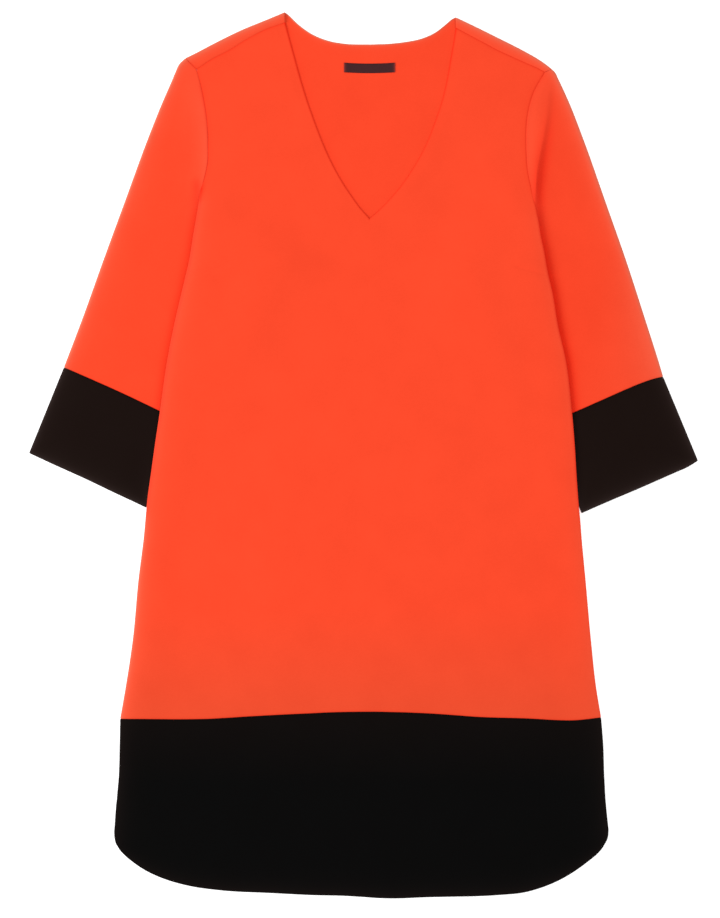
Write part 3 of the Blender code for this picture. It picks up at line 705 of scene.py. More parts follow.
def back_half(side, stations):
    """The grid of one half of the back's underside, from the side edge to the middle."""
    half = HALVES[side]
    edge, inner, s = half.edge(stations), half.inner(stations), stations[:, None]
    slope = (inner[:, 1] - edge[:, 1]) / (inner[:, 0] - edge[:, 0])
    width, bend = np.abs(NECK_X[side] - edge[:, 0]), half.bend(stations)
    distance, drop, up = half_columns(width, bend, (0.0,))
    bend = bend[:, None]
    groove = curl(BAND_SEAM_STATION - s, SEAM_DEPTH, SEAM_REACH)
    x = edge[:, :1] + half.inwards * (distance + groove * np.sqrt(1 - up ** 2))
    y = edge[:, 1:] + (x - edge[:, :1]) * slope[:, None]
    first = eased(s, half.stations[1])
    seam = half.seam.at(distance[0] / width[0])
    x = x + first * (seam[:, 0] - x[0])
    y = y + first * (seam[:, 1] - y[0])

    count = len(BACK_CENTRE_Y)
    above = through(half.stations[:count], BACK_CENTRE_Y, np.minimum(stations, VEE))
    below_values = (BACK_CENTRE_Y[-1],) + CENTRE_Y[1:]
    below = through(half.stations[count - 1:], below_values, np.maximum(stations, VEE))
    centre_y = np.where(stations <= VEE, above, below)[:, None]
    share = np.linspace(0.0, 1.0, NECK_COLUMNS + 1)[1:]
    curve = half.neckline.at(share)
    chord = half.neckline.at(0.0) + (half.neckline.at(1.0) - half.neckline.at(0.0)) * share[:, None]
    follow = np.interp(s, half.stations[:len(NECKLINE_SHARES)], NECKLINE_SHARES)
    neck_x = x[:, -1:] + (CENTRE_X - x[:, -1:]) * share + follow * (curve - chord)[:, 0]
    neck_y = y[:, -1:] + (centre_y - y[:, -1:]) * share + follow * (curve - chord)[:, 1]
    flat = np.zeros(neck_x.shape)
    x, y, distance, drop, up = (
        np.concatenate(pair, axis=1) for pair in (
            (x, neck_x), (y, neck_y), (distance, np.abs(neck_x - edge[:, :1])), (drop, flat),
            (up, flat + 1),
        )
    )
    y = meet_band(half, s, x, y)

    z = half.lifted(s, distance, BACK_RAMP) + drop + groove * up
    away, share = Line(BACK_CREASE).nearest(x, y)
    ends = smooth(share / BACK_CREASE_EASE) * smooth((1 - share) / BACK_CREASE_EASE)
    z = z + BACK_CREASE_HEIGHT * ends * np.exp(-(away / BACK_CREASE_REACH) ** 2)
    armhole = np.where(bend < SEAM_BEND, distance, np.inf)
    to_edge = np.where(bend > SEAM_BEND, distance, np.inf)
    # painted shadow on the back's inside beside the V, as strong all the way in under the front
    from_vee = np.maximum(half.inwards * (x - inner[:, :1]), 0.0)
    shade = BACK_SHADE[side] * np.exp(-from_vee / BACK_SHADE_REACH)
    shade = shade * smooth((VEE - s) / BACK_SHADE_EASE)
    return np.stack([x, y, z], -1), to_edge, np.minimum(armhole, BAND_SEAM_STATION - s), shade


def shoulder_grids(side, first_row, columns):
    """The back's strip over the shoulder, and the stretch below its fold and its neckline."""
    half = HALVES[side]
    share = columns / columns[-1]
    fold, seam = half.fold.at(share), half.seam.at(share)
    reach = np.linalg.norm(fold - seam, axis=1)
    towards = (seam - fold) / reach[:, None]
    tip = smooth((share - SHOULDER_TIP) / (1 - SHOULDER_TIP))
    insets, heights = [], []
    for turn in np.linspace(0.0, math.pi, FOLD_STEPS + 1):
        insets.append(FOLD_RADIUS * (1 - math.sin(turn)) * (1 - tip * (turn < math.pi / 2)))
        heights.append(np.full(len(share), FOLD_RADIUS * (1 - math.cos(turn))))
    flat = with_fine_ends(ladder(0.0, (SHOULDER_STRIP, SHOULDER_STEP)), start=False)
    for part in np.unique(np.round(flat / SHOULDER_STRIP, 4))[1:]:
        insets.append(FOLD_RADIUS + (reach - FOLD_RADIUS) * part)
        down = curl((1 - part) * (reach - FOLD_RADIUS), SEAM_DEPTH, SEAM_REACH)
        heights.append(FOLD_HEIGHT + (FRONT_TOP - FOLD_HEIGHT) * smooth(part) - down)
    insets = np.array(insets)
    places = fold + towards * insets[..., None]
    strip = np.concatenate([places, np.array(heights)[..., None]], axis=-1)

    neck_share = np.linspace(0.0, 1.0, NECK_COLUMNS + 1)[1:]
    top = np.concatenate([strip[0, :, :2], half.neckline.at(neck_share)])
    gap = np.linalg.norm(top - first_row[:, :2], axis=1)
    free = np.concatenate([np.zeros(len(share)), smooth(neck_share / NECK_ROLL_EASE)])
    below, below_highlight_distance = [], []
    for away in NECKLINE_STEPS:
        place = top + (first_row[:, :2] - top) * np.minimum(away / gap, 1.0)[:, None]
        below.append(np.column_stack([place, free * curl(away, TURNED_DEPTH, TURNED_REACH)]))
        # distance for the neckline's painted highlight
        below_highlight_distance.append(np.full(len(top), NECKLINE_HIGHLIGHT * away))
    below = np.array(below + [first_row])
    return (strip, insets), (below, np.array(below_highlight_distance + [np.full(len(top), PAINT_GONE)]))


def back_panel():
    places = ladder(0.0, (VEE, ROW_STEP), (BAND_SEAM_STATION, ROW_STEP))
    stations = with_fine_ends(places, start=False)
    grids = []
    for side, half in HALVES.items():
        parts = back_half(side, stations)
        width = abs(NECK_X[side] - half.edge(0.0)[0])
        columns, _, _ = half_columns(np.array([width]), np.array([0.0]), (0.0,))
        # the shoulder's strip and the stretch below, with distances for painted highlight and
        # painted shade
        (strip, highlight_distance), (below, below_highlight_distance) = shoulder_grids(side, parts[0][0], columns[0])
        from_armhole = np.minimum(columns[0], PAINT_GONE) + 0 * highlight_distance
        grids += [
            left_to_right(side, parts),
            left_to_right(side, (strip[::-1], highlight_distance[::-1], from_armhole, 0 * highlight_distance)),
            left_to_right(side, (below, below_highlight_distance, PAINT_GONE + 0 * below_highlight_distance, 0 * below_highlight_distance)),
        ]
    return grids


def hem_band(is_front):
    """The grid of a hem band from its seam down to the hem, whose columns hang from the panel's."""
    top_rows = []
    for side, half in HALVES.items():
        start = half.edge(BAND_SEAM_STATION)[0]
        columns, _, _ = half_columns(np.array([abs(CENTRE_X - start)]), np.array([1.0]), (0.0,))
        row = start + half.inwards * columns[0]
        top_rows.append(row if side == "left" else row[::-1][1:])
    top_x = np.concatenate(top_rows)
    left_line, right_line = Line(BAND_SIDE["left"]), Line(BAND_SIDE["right"])
    hem, dip = Line(HEM), Line(BAND_SEAM_DIP)
    share = (top_x - top_x[0]) / (top_x[-1] - top_x[0])
    rows = []
    for step in with_fine_ends(ladder(0.0, (BAND_DEPTH, ROW_STEP))) / BAND_DEPTH:
        from_top, from_hem = step * BAND_DEPTH, (1 - step) * BAND_DEPTH
        left_x, right_x = left_line.at(step)[0], right_line.at(step)[0]
        bend = 1 - smooth((step - VENT_START) / (VENT_END - VENT_START))
        offset, drop, up = (values[0] for values in edge_columns(np.array([bend])))
        if bend < 1:
            drop = drop * bend + curl(offset, TURNED_DEPTH, TURNED_REACH) * (1 - bend)
        groove = curl(from_top, SEAM_DEPTH, SEAM_REACH)
        offset = offset + groove * np.sqrt(1 - up ** 2)
        side_drop, count = drop + groove * up, len(offset)
        x, down = left_x + (right_x - left_x) * share, np.full(len(share), groove)
        x[:count], x[-count:] = left_x + offset, (right_x - offset)[::-1]
        down[:count], down[-count:] = side_drop, side_drop[::-1]
        down = np.maximum(down, curl(from_hem, TURNED_DEPTH, TURNED_REACH))
        seam_y = dip.y_at(top_x) + SEAM_OVERLAP
        place = (x - left_x) / (right_x - left_x)
        hem_y = hem.y_at(HEM[0][0] + (HEM[-1][0] - HEM[0][0]) * place)
        y = seam_y + (hem_y - seam_y) * step
        from_side = np.minimum(x - left_x, right_x - x)
        z = down
        if is_front:
            z = FRONT_TOP + puff(from_side, bend) + body_relief(x, y) - down
            z = z + pucker(from_top, x, 2.6)
        # distance for the painted highlight of the band's sides and hem
        highlight_distance = BAND_HIGHLIGHT_START + np.minimum(from_side, from_hem)
        rows.append((np.column_stack([x, y, z]), highlight_distance, np.full(len(x), from_top)))
    return [grid(*map(np.array, zip(*rows)))]


def armhole(side):
    """The armhole, from the shoulder's tip down its seam and in under the body to the underarm."""
    half = HALVES[side]
    tip, seam = np.array(SHOULDER_FOLD[side][0]), np.array(SHOULDER_SEAM[side][0])
    start = [tip + (seam - tip) * share for share in (0.0, 0.25, 0.5, 0.75)]
    stations = np.linspace(0.0, half.station("underarm"), ARMHOLE_PLACES)
    points = np.concatenate([start, half.under(stations)])
    along = np.gradient(points, axis=0)
    along /= np.linalg.norm(along, axis=1)[:, None]
    points = points + half.inwards * SEAM_OVERLAP * np.column_stack([-along[:, 1], along[:, 0]])
    seen = Line(points, bends=False)
    arm_end = len(start) + int(np.searchsorted(stations, half.station("arm_end")))
    return seen, seen.shares[arm_end]


def inner_fold(side):
    """The sleeve's hidden fold, from the underarm under the body to the black band."""
    half = HALVES[side]
    stations = np.linspace(half.station("underarm"), half.station("hip_2"), INNER_FOLD_PLACES)
    points = half.under(stations)
    end = np.array(CUFF_SEAM[side][1])
    above = points[:, 1] > end[1] + INNER_FOLD_CLEARANCE
    return Line(np.concatenate([points[above], [end]]), bends=False)


def ring_columns(curve):
    """A ring's columns: at set distances from both of the curve's ends, and even between them."""
    along = lengths(curve)
    spread = np.linspace(0.0, 1.0, len(curve))
    near = np.interp(np.concatenate([[0.0], SLEEVE_STEPS]), along, spread)
    far = np.interp(along[-1] - np.concatenate([[0.0], SLEEVE_STEPS]), along, spread)[::-1]
    places = np.concatenate([near[:-1], np.linspace(near[-1], far[0], SLEEVE_COLUMNS), far[1:]])
    return np.stack([np.interp(places, spread, curve[:, k]) for k in (0, 1)], -1)


def sleeve_height(side, x, y, nearest):
    """The upper side of a sleeve or of its band, and how far its underside is up at the seam."""
    half = HALVES[side]
    order = np.argsort(half.places[:, 1])
    station = np.interp(y, half.places[order, 1], half.stations[order])
    outside = -half.inwards * (x - half.edge(station)[..., 0])
    rise = half.rise(station)
    height = FRONT_TOP + (FOLD_HEIGHT - FRONT_TOP) * (1 - smooth(nearest / PUFF_REACH))
    height = height + SLEEVE_CROWN * smooth(nearest / CROWN_REACH)
    height = height + folds(x, y, SLEEVE_FOLDS[side]) * smooth(nearest / FOLD_FREE)
    last, end = half.station("arm_5"), half.station("under_1")
    below = smooth((station - last) / (end - last))
    joined = (1 - below) * (1 - smooth(outside / SEAM_BLEND[side]))
    height = height + (FRONT_TOP + rise - height) * joined
    under = FOLD_HEIGHT + (rise - SUPPORT_GAP - FOLD_HEIGHT) * smooth(nearest / PUFF_REACH)
    inside = smooth(-outside / SUPPORT_RISE) * below
    return height + (under - height) * inside, rise * joined


def tube_ring(side, line, shrink, mouth=0.0, outer_reach=1.0):
    """A ring round a flattened tube, whose two folds are at the line's ends: under and back over.

    shrink is how far the ring turns in at a seam or at the open end, and mouth how far the upper
    layer stands off at the open end. The outer fold's painted highlight reaches in outer_reach
    times as far.
    """
    height, reach = FOLD_RADIUS - shrink, FOLD_REACH - shrink

    def fold(tip, towards, start):
        direction = (towards - tip) / np.linalg.norm(towards - tip)
        turns = start + np.linspace(0.0, math.pi, FOLD_STEPS + 1)
        inset = shrink + reach * (1 - np.abs(np.sin(turns)))
        place = tip + direction * inset[:, None]
        return np.column_stack([place, FOLD_RADIUS - height * np.cos(turns)]), inset

    first, outer_highlight_distance = fold(line[0], line[2], 0.0)
    last, inner_highlight_distance = fold(line[-1], line[-3], math.pi)
    inner = line[1:-1]
    from_outer = np.linalg.norm(inner - line[0], axis=1)
    from_inner = np.linalg.norm(inner - line[-1], axis=1)
    nearest = np.minimum(from_outer, from_inner)
    top, lift = sleeve_height(side, inner[:, 0], inner[:, 1], nearest)
    over = np.column_stack([inner, top - shrink + mouth * smooth(nearest / MOUTH_REACH)])
    under = np.column_stack([inner, shrink + lift])
    # distances for the painted highlight of both folds
    from_outer = np.minimum(from_outer, from_outer / outer_reach + BLOOM_HIGHLIGHT_START)
    highlight_distance = np.minimum(from_outer, from_inner)
    edge = np.concatenate([outer_highlight_distance, highlight_distance, inner_highlight_distance, highlight_distance[::-1]])
    return np.concatenate([first, over, last, under[::-1]]), edge


def sleeve(side):
    """The rings of a sleeve from its armhole down to the black band's seam."""
    hole, seen_end = armhole(side)
    shares = np.linspace(0.0, 1.0, SLEEVE_CURVE_PLACES)
    start = hole.at(shares)
    outline = Line([start[0], *SLEEVE_OUTLINE[side]])
    inner = inner_fold(side)
    end = np.array(CUFF_SEAM[side])
    end_shares = np.interp(shares, (0.0, seen_end, 1.0), (0.0, SEEN_SHARE, 1.0))
    end_line = end[0] + (end[1] - end[0]) * end_shares[:, None]
    end_line[:, 1] += through(BOW_SHARES, SEAM_BOW[side], end_shares)
    by_outer, by_inner = (1 - shares)[:, None], shares[:, None] ** INNER_PULL
    depth = outline.length
    steps = with_fine_ends(ladder(0.0, (CAP_DEPTH, CAP_ROW_STEP), (depth, SLEEVE_ROW_STEP))) / depth
    rings = []
    for step in steps:
        first = start[0] + (end[0] - start[0]) * step
        last = start[-1] + (end[1] - start[-1]) * step
        curve = start + (end_line - start) * step
        curve = curve + by_outer * (outline.at(step) - first) + by_inner * (inner.at(step) - last)
        from_top, from_seam = step * depth, min(step, 1 - step) * depth
        # the outer fold's painted highlight widens towards the band
        bloom = 1 + (BLOOM_REACH[side] - 1) * smooth((step - BLOOM_START) / (1 - BLOOM_START))
        turned_in = float(curl(from_seam, SEAM_DEPTH, SEAM_REACH))
        ring, edge = tube_ring(side, ring_columns(curve), turned_in, outer_reach=bloom)
        uneven = pucker(from_seam, np.arange(len(ring)) * RING_PUCKER_STEP, 3.0)
        ring[:, 2] += np.where(ring[:, 2] > UPPER_LAYER, uneven, 0.0)
        # the painted highlight strip beside the armhole
        down, beside = STRIP_SLOPES[0] * from_top, STRIP_SLOPES[1] * (ring[:, 1] - STRIP_Y)
        strip = np.sqrt(STRIP_HIGHLIGHT[side] ** 2 + down ** 2 + beside ** 2)
        # painted shade beside the armhole's seam, and beside the body
        below_top = smooth((ARMHOLE_SHADE_TOP - ring[:, 1]) / ARMHOLE_SHADE_FALL)
        at_hole = ARMHOLE_SHADE[side] * math.exp(-(from_top / ARMHOLE_SHADE_REACH) ** 2) * below_top
        shade = at_hole + sleeve_shade(side, ring[:, 0], ring[:, 1])
        rings.append((ring, np.minimum(edge, strip), np.full(len(ring), from_seam), shade))
    return [grid(*map(np.array, zip(*rings)), SLEEVE_TURN[side])]


def sleeve_shade(side, x, y):
    """Painted shade on a sleeve beside the body, out from its crease or the body's edge."""
    half = HALVES[side]
    covered = half.places[ROW_NAMES.index("under_1"):ROW_NAMES.index("hip_2")]
    crease = [(row[0] + row[3], row[1]) for row in CAP_CREASE[:-1]]
    start = crease if side == "right" else SMALL_CREASE
    away, share = Line(np.concatenate([start, covered]), bends=False).nearest(x, y)
    far, close, reach = SLEEVE_SHADE[side]
    outside = np.maximum(-half.inwards * away, 0.0)
    far = far * smooth(outside / SHADE_EASE) * np.exp(-outside / reach)
    upper = 1 + UPPER_SHADE[side] * (1 - smooth(share / UPPER_SHADE_END))
    close = close * upper * np.exp(-(away / CLOSE_SHADE_REACH[side]) ** 2)
    return smooth(share / SHADE_START[side]) * (far + close)


def cuff(side):
    """The rings of a black band, from its seam to its open end."""
    start, end = np.array(CUFF_SEAM[side]), np.array(CUFF_END[side])
    depth = float(np.linalg.norm(end[0] - start[0]))
    shares = np.linspace(0.0, 1.0, CUFF_CURVE_PLACES)
    seam_bow = through(BOW_SHARES, SEAM_BOW[side], shares)
    end_bow = through(BOW_SHARES, END_BOW[side], shares)
    rings = []
    for away in with_fine_ends(ladder(0.0, (depth, SLEEVE_ROW_STEP))):
        step = away / depth
        corners = start + (end - start) * step
        curve = corners[0] + (corners[1] - corners[0]) * shares[:, None]
        curve[:, 1] += seam_bow * (1 - step) - end_bow * step
        at_seam = curl(away, SEAM_DEPTH, SEAM_REACH)
        at_end = curl(depth - away, BAND_TURNED_DEPTH, TURNED_REACH)
        mouth = MOUTH_HEIGHT * smooth((away - MOUTH_START) / (depth - MOUTH_START))
        ring, edge = tube_ring(side, ring_columns(curve), float(max(at_seam, at_end)), mouth)
        # painted highlight at its folds and its open end
        rings.append((ring, np.minimum(edge, depth - away), np.full(len(ring), away), 0 * edge))
    return [grid(*map(np.array, zip(*rings)), SLEEVE_TURN[side])]


def placed(name, data, place=(0.0, 0.0, 0.0)):
    """A new object in the scene."""
    made = bpy.data.objects.new(name, data)
    bpy.context.scene.collection.objects.link(made)
    made.location = place
    return made


def cloth(name, grids, finish, face_up=True, closed=False, thickness=CLOTH):
    """One piece of cloth: its grids joined where they meet, and a wall inwards from them."""
    faces = []
    offset = 0
    for one in grids:
        rows, columns = one["points"].shape[:2]
        number = offset + np.arange(rows * columns).reshape(rows, columns)
        after = np.roll(number, -1, axis=1)
        if not closed:
            number, after = number[:, :-1], after[:, :-1]
        quads = np.stack([number[:-1], number[1:], after[1:], after[:-1]], -1).reshape(-1, 4)
        faces.append(quads if face_up else quads[:, ::-1])
        offset += rows * columns
    faces = np.concatenate(faces)
    places = np.concatenate([one["points"].reshape(-1, 3) for one in grids]) * MM
    grain = np.concatenate([one["grain"].reshape(-1, 2) for one in grids]) * MM
    mesh = bpy.data.meshes.new(name)
    mesh.from_pydata(places.tolist(), [], faces.tolist())
    mesh.uv_layers.new(name="grain").data.foreach_set("uv", grain[faces.reshape(-1)].reshape(-1))
    # the painted highlight of the edges and the painted shade of the seams fade out over these
    # reaches
    for key, reach in (("edge", EDGE_HIGHLIGHT_REACH), ("seam", SEAM_SHADE_REACH), ("shade", None)):
        values = np.concatenate([one[key].reshape(-1) for one in grids])
        if reach:
            values = np.exp(-np.minimum(values, FAR) / reach)
        told = mesh.attributes.new(key, "FLOAT", "POINT")
        told.data.foreach_set("value", values.astype(np.float32))
    shape = bmesh.new()
    shape.from_mesh(mesh)
    bmesh.ops.remove_doubles(shape, verts=shape.verts[:], dist=JOINED * MM)
    bmesh.ops.dissolve_degenerate(shape, edges=shape.edges[:], dist=SLIVER * MM)
    shape.to_mesh(mesh)
    shape.free()
    mesh.polygons.foreach_set("use_smooth", np.ones(len(mesh.polygons), bool))
    mesh.materials.append(finish)
    piece = placed(name, mesh)
    wall = piece.modifiers.new("wall", "SOLIDIFY")
    wall.thickness = thickness * MM
    wall.offset = -1.0
    wall.use_even_offset = False
    return piece


# ---------------------------------------------------------------- finishes


def operation(name, reflected=False):
    """An operator of Wire, which adds the Math node of that name."""

    def apply(wire, other):
        values = (other, wire) if reflected else (wire, other)
        return wire.finish.math(name, *values)

    return apply


class Wire:
    """A value in a finish, with arithmetic that adds its Math nodes."""

    def __init__(self, finish, socket):
        self.finish, self.socket = finish, socket

    __add__ = __radd__ = operation("ADD")
    __mul__ = __rmul__ = operation("MULTIPLY")
    __sub__, __rsub__ = operation("SUBTRACT"), operation("SUBTRACT", reflected=True)
    __truediv__, __rtruediv__ = operation("DIVIDE"), operation("DIVIDE", reflected=True)
    __pow__, __rpow__ = operation("POWER"), operation("POWER", reflected=True)


class Finish:
    """A material as it is made."""

    def __init__(self, name):
        self.material = bpy.data.materials.new(name)
        self.material.use_nodes = True
        self.tree = self.material.node_tree
        self.shader = self.tree.nodes["Principled BSDF"]

    def feed(self, socket, value):
        if isinstance(value, Wire):
            self.tree.links.new(value.socket, socket)
        else:
            socket.default_value = value

    def node(self, kind, settings=(), inputs=(), output=0):
        made = self.tree.nodes.new("ShaderNode" + kind)
        for key, value in dict(settings).items():
            setattr(made, key, value)
        for key, value in dict(inputs).items():
            self.feed(made.inputs[key], value)
        return Wire(self, made.outputs[output])

    def math(self, operation, *values):
        return self.node("Math", {"operation": operation}, enumerate(values))

    def clamped(self, value):
        return self.node("Math", {"operation": "ADD", "use_clamp": True}, {0: value, 1: 0.0})

    def mix(self, share, first, second, blend="MIX"):
        colours = {0: share, 6: colour(first), 7: colour(second)}
        return self.node("Mix", {"data_type": "RGBA", "blend_type": blend}, colours, output=2)

    def place(self):
        return self.node("TexCoord", output=3)

    def told(self, name):
        """What the mesh tells of its places under this name."""
        return self.node("Attribute", {"attribute_name": name}, output=2)

    def noise(self, vector, size, detail=2.0, roughness=0.5, stretch=None):
        """Noise whose grain is about size millimetres."""
        if stretch:
            scale = {0: vector, 1: (*stretch, 1.0)}
            vector = self.node("VectorMath", {"operation": "MULTIPLY"}, scale)
        inputs = {"Vector": vector, "Scale": 1 / (size * MM), "Detail": detail}
        return self.node("TexNoise", {}, {**inputs, "Roughness": roughness})

    def relief(self, height, strength, depth):
        """Bump of a height from 0 to 1 that stands for depth millimetres."""
        inputs = {"Strength": strength, "Distance": depth * MM, "Height": height}
        self.feed(self.shader.inputs["Normal"], self.node("Bump", {}, inputs))

    def cover(self, base, roughness, **constants):
        """The finish's colour and roughness, with what is the same all over it."""
        values = {"Base_Color": base, "Roughness": roughness, **constants}
        for key, value in values.items():
            self.feed(self.shader.inputs[key.replace("_", " ")], value)
        return self.material


def colour(value):
    return value if isinstance(value, Wire) else (*value, 1.0)


# A crepe's dye at the top, its colour low down and the heights between which it changes; its
# colour under painted shade, beside a seam or a fold; its painted highlight at an edge and how far
# that shows; its paler painted highlight on the very edge; and how much it shines
ORANGE_CREPE = {
    "dye": (0.790, 0.0573, 0.0201), "low_colour": (0.686, 0.0625, 0.0232), "from_y": -165.0,
    "to_y": -285.0, "shaded_colour": (0.780, 0.0125, 0.0030), "rim_highlight": (0.780, 0.0830, 0.0370),
    "rim_highlight_share": 1.0, "edge_highlight": (0.620, 0.1700, 0.1050), "specular": 0.02,
}
CREPES = {
    "orange_crepe": ORANGE_CREPE,
    # a darker copy of the orange crepe: painted shade for the sleeves and the back
    "orange_crepe_shaded": {
        **ORANGE_CREPE, "dye": (0.790, 0.0545, 0.0188), "rim_highlight": (0.760, 0.0830, 0.0370),
    },
    "black_crepe": {
        "dye": (0.0088, 0.0047, 0.0038), "low_colour": (0.0025, 0.0024, 0.0024), "from_y": -100.0,
        "to_y": -360.0, "shaded_colour": (0.0010, 0.0008, 0.0008), "rim_highlight": (0.0190, 0.0115, 0.0100),
        "rim_highlight_share": 0.55, "edge_highlight": (0.0300, 0.0200, 0.0185), "specular": 0.01,
    },
}
UNEVEN = (0.93, 0.88, 0.86)  # of the dye's weakest places
GROUND = (0.86, 0.80, 0.78)  # of the yarn between the pebbles
LABEL_DARK = (0.0310, 0.0060, 0.0072)
LABEL_PALE = (0.0490, 0.0105, 0.0125)
# red of the painted highlight at the label's folded ends, and of the thread's twist
LABEL_RIM = (0.3300, 0.0330, 0.0240)
FLOOR_DARK = (0.94, 0.94, 0.94)
FLOOR_PALE = (0.97, 0.97, 0.965)
FLOOR_GLOW = 0.4


def crepe(name):
    """Crepe: a fine pebbled face, slubs along the weft, uneven dye, painted shade and highlights.
    """
    look = CREPES[name]
    finish = Finish(name)
    grain, place = finish.node("UVMap", {"uv_map": "grain"}), finish.place()
    height = finish.node("SeparateXYZ", {}, {0: place}, output=1)
    edge, seam, shade = finish.told("edge"), finish.told("seam"), finish.told("shade")
    pebbles = finish.noise(grain, 0.55, 2.0, 0.55, stretch=(1.0, 0.62))
    slubs = finish.noise(grain, 0.7, 1.0, stretch=(0.12, 1.0))
    warp = finish.noise(grain, 0.8, 1.0, stretch=(1.0, 0.1))
    cloudy = finish.noise(place, 46.0, 3.0, 0.55)
    flecks = finish.noise(grain, 2.4, 3.0, 0.6)

    fall = (look["from_y"] - look["to_y"]) * MM
    low = finish.clamped((look["from_y"] * MM - height) / fall)
    dye = finish.mix(low, look["dye"], look["low_colour"])
    # painted shade: the shaded colour where the mesh tells of shade, and beside the seams
    dye = finish.mix(finish.clamped(shade + seam * 0.4), dye, look["shaded_colour"])
    # painted highlight along the folds and free edges
    dye = finish.mix(finish.clamped(edge * look["rim_highlight_share"]), dye, look["rim_highlight"])
    # a paler painted highlight on the very edge, less where there is painted shade
    dye = finish.mix(finish.clamped(edge ** 4.0 * (1.0 - shade)), dye, look["edge_highlight"])
    tone = cloudy * 0.5 + flecks * 0.3 + slubs * 0.2
    dye = finish.mix(finish.clamped((0.62 - tone) * 2.6), dye, UNEVEN, "MULTIPLY")
    # darker yarn between the pebbles, and more painted shade beside the seams
    between = finish.clamped(seam * 0.3 + (0.5 - pebbles) * 0.9)
    dye = finish.mix(between, dye, GROUND, "MULTIPLY")
    finish.relief(pebbles * 0.7 + slubs * 0.35 + warp * 0.3, 0.45, 0.09)
    return finish.cover(
        dye, 0.66 + pebbles * 0.2 + edge * 0.04, Metallic=0.0, Sheen_Weight=0.01,
        Sheen_Roughness=0.45, Specular_IOR_Level=look["specular"],
    )


def satin(name):
    """The label's woven satin, with fine ribs across it and a painted highlight at its folded ends.
    """
    finish = Finish(name)
    place = finish.place()
    ribs = finish.noise(place, 0.16, 1.0, stretch=(1.0, 0.08))
    floats = finish.noise(place, 0.22, 1.0, stretch=(0.1, 1.0))
    tone = finish.clamped((ribs * 0.5 + floats * 0.5 - 0.3) * 2.2)
    base = finish.mix(tone, LABEL_DARK, LABEL_PALE)
    # painted highlight at the label's folded ends
    base = finish.mix(finish.told("edge") * 0.85, base, LABEL_RIM)
    finish.relief(ribs * 0.6 + floats * 0.6, 0.5, 0.05)
    return finish.cover(base, 0.42 + floats * 0.22, Metallic=0.0, Specular_IOR_Level=0.12)


def thread(name):
    """The label's sewing thread, with its twist."""
    finish = Finish(name)
    twist = finish.noise(finish.place(), 0.12, 1.0, stretch=(1.0, 0.25))
    base = finish.mix(twist, LABEL_DARK, LABEL_RIM)
    return finish.cover(base, 0.6 + twist * 0.2, Metallic=0.0, Specular_IOR_Level=0.1)


def paper(name):
    """The pale floor, which the light also comes through."""
    finish = Finish(name)
    base = finish.mix(finish.noise(finish.place(), 180.0), FLOOR_DARK, FLOOR_PALE)
    return finish.cover(
        base, 0.9, Specular_IOR_Level=0.1, Emission_Color=(1.0, 1.0, 1.0, 1.0),
        Emission_Strength=FLOOR_GLOW,
    )


# ---------------------------------------------------------------- label

LABEL_SIZE = (56.5, 10.5)
LABEL_MIDDLE = (6.4, 425.2)
LABEL_HIGHLIGHT_SCALE = 9.0  # its ends' painted highlight reaches in as much less than the dress's
LABEL_CLOTH = 0.24
LABEL_LOW = CLOTH + 0.05  # its underside, on the inside of the back
LABEL_FOLD = 0.31  # radius of its folded ends
LABEL_TURNED_UNDER = 6.0
LABEL_SAG_REACH = 12.0  # it comes down from its folded ends over this length
LABEL_ROWS = 9
LABEL_COLUMNS = 40
LABEL_UNDER_COLUMNS = 5
LABEL_BOW = 1.0  # how far its ends are above its middle, as it lies
STITCH = (0.16, 0.75, 0.13)  # half sizes of a stitch
STITCH_STEP = 2.1
STITCH_INSET = 1.3
STITCH_RISE = 0.4  # of each row of stitches above the label's middle
STITCH_HEIGHT = LABEL_LOW + 2 * LABEL_FOLD


def neck_label(finish):
    """The woven label: a ribbon with both ends turned under, lying on the inside of the back."""
    half_length, bend = LABEL_SIZE[0] / 2, LABEL_SIZE[0] / 2 - LABEL_FOLD
    turns = np.linspace(-math.pi / 2, math.pi / 2, LABEL_ROWS)
    under_x = np.linspace(half_length - LABEL_TURNED_UNDER, bend, LABEL_UNDER_COLUMNS + 1)[:-1]
    end_x = np.concatenate([under_x, bend + LABEL_FOLD * np.cos(turns)])
    end_z = np.concatenate([0 * under_x, LABEL_FOLD * (1 + np.sin(turns))])
    flat_x = np.linspace(bend, -bend, LABEL_COLUMNS)[1:-1]
    sag = (2 * LABEL_FOLD - LABEL_CLOTH) * smooth((bend - np.abs(flat_x)) / LABEL_SAG_REACH)
    x = np.concatenate([end_x, flat_x, -end_x[::-1]])
    z = LABEL_LOW + np.concatenate([end_z, 2 * LABEL_FOLD - sag, end_z[::-1]])
    rows = np.linspace(-0.5, 0.5, LABEL_ROWS)[:, None] * LABEL_SIZE[1]
    bowed = LABEL_BOW * (x / half_length) ** 2 - LABEL_BOW / 2
    points = np.stack([
        LABEL_MIDDLE[0] + x + 0 * rows, LABEL_MIDDLE[1] + bowed + rows, z + 0 * rows,
    ], -1)
    made = grid(points, (half_length - np.abs(x)) * LABEL_HIGHLIGHT_SCALE, FAR)
    return cloth("woven_label", [made], finish, thickness=LABEL_CLOTH)


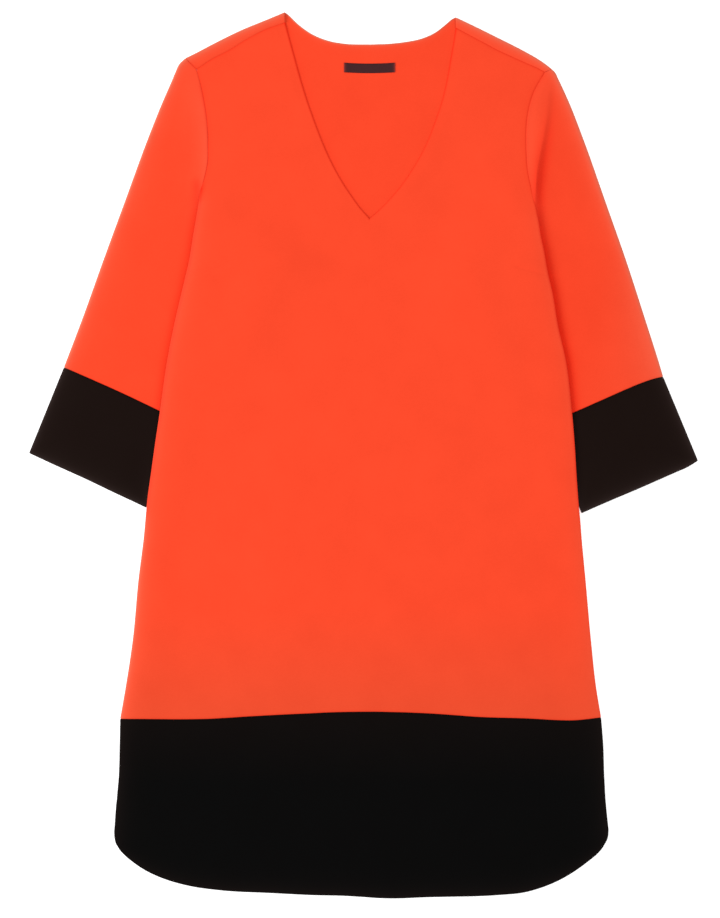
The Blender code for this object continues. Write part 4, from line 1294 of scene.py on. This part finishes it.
def label_stitches(finish):
    """The stitches at both ends of the label, each a short bead of thread across its end."""
    bpy.ops.object.select_all(action="DESELECT")
    bpy.ops.mesh.primitive_uv_sphere_add(segments=12, ring_count=8, radius=MM)
    first = bpy.context.object
    first.scale = STITCH
    bpy.ops.object.transform_apply(location=False, rotation=False, scale=True)
    bpy.ops.object.shade_smooth()
    first.data.materials.append(finish)
    made = []
    for end in (-1, 1):
        for k in range(-2, 3):
            x = LABEL_MIDDLE[0] + end * (LABEL_SIZE[0] / 2 - STITCH_INSET)
            y = LABEL_MIDDLE[1] + STITCH_RISE + k * STITCH_STEP
            made.append(placed("stitch", first.data.copy(), Vector((x, y, STITCH_HEIGHT)) * MM))
    bpy.data.objects.remove(first)
    bpy.ops.object.select_all(action="DESELECT")
    for stitch in made:
        stitch.select_set(True)
    bpy.context.view_layer.objects.active = made[0]
    bpy.ops.object.join()
    bpy.ops.object.transform_apply(location=True, rotation=False, scale=False)
    made[0].name = "label_stitches"
    return made[0]


# ---------------------------------------------------------------- the dress

orange = crepe("orange_crepe")
# the sleeves and the back: a painted-shade copy of the orange crepe
shaded_orange = crepe("orange_crepe_shaded")
black = crepe("black_crepe")

dressed = {
    "front_panel": cloth("front_cloth", front_panel(), orange),
    "back_panel": cloth("back_cloth", back_panel(), shaded_orange, face_up=False),
    "front_hem_band": cloth("front_band_cloth", hem_band(True), black),
    "back_hem_band": cloth("back_band_cloth", hem_band(False), black, face_up=False),
    "neck_label": neck_label(satin("label_satin")),
}
for side in ("left", "right"):
    up = side == "left"
    dressed[side + "_sleeve"] = cloth(
        side + "_sleeve_cloth", sleeve(side), shaded_orange, face_up=up, closed=True
    )
    dressed[side + "_cuff"] = cloth(
        side + "_cuff_cloth", cuff(side), black, face_up=up, closed=True
    )

for node, piece in dressed.items():
    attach(piece, "root")
    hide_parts(node)
stitches = label_stitches(thread("label_thread"))
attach(stitches, "root")

# ---------------------------------------------------------------- the scene

FLOOR_SIZE = 14.0
FLOOR_HEIGHT = -0.0006
PLANE_HEIGHT = 0.003  # of the plane that the view is set for, near the dress's upper side
VIEW_MIDDLE = (-0.0041, -0.0037)
VIEW_HEIGHT = 1.0061
LENS = 100.0
SENSOR = 36.0


def stage():
    bpy.ops.object.select_all(action="DESELECT")
    bpy.ops.mesh.primitive_plane_add(size=FLOOR_SIZE, location=(0.0, 0.0, FLOOR_HEIGHT))
    floor = bpy.context.object
    floor.name = "floor"
    bpy.ops.object.transform_apply(location=True, rotation=False, scale=False)
    floor.data.materials.append(paper("pale_floor"))


def camera():
    data = bpy.data.cameras.new("camera")
    data.lens, data.sensor_width = LENS, SENSOR
    place = (*VIEW_MIDDLE, VIEW_HEIGHT * LENS / SENSOR + PLANE_HEIGHT)
    bpy.context.scene.camera = placed("camera", data, place)


def lamp(name, place, size, power):
    """A square soft light that shines at the middle of the dress."""
    data = bpy.data.lights.new(name, "AREA")
    data.shape, data.size, data.energy = "SQUARE", size, power
    placed(name, data, place).rotation_euler = (-Vector(place)).to_track_quat("-Z", "Y").to_euler()


def surroundings(strength):
    world = bpy.data.worlds.new("surroundings")
    world.use_nodes = True
    back = world.node_tree.nodes["Background"]
    back.inputs["Color"].default_value = (1.0, 1.0, 1.0, 1.0)
    back.inputs["Strength"].default_value = strength
    bpy.context.scene.world = world


stage()
camera()
lamp("key", (-2.7, 0.3, 1.75), 1.4, 55.0)
lamp("fill", (0.6, -0.5, 4.2), 3.0, 45.0)
surroundings(0.82)
bpy.context.scene.view_settings.view_transform = "Standard"
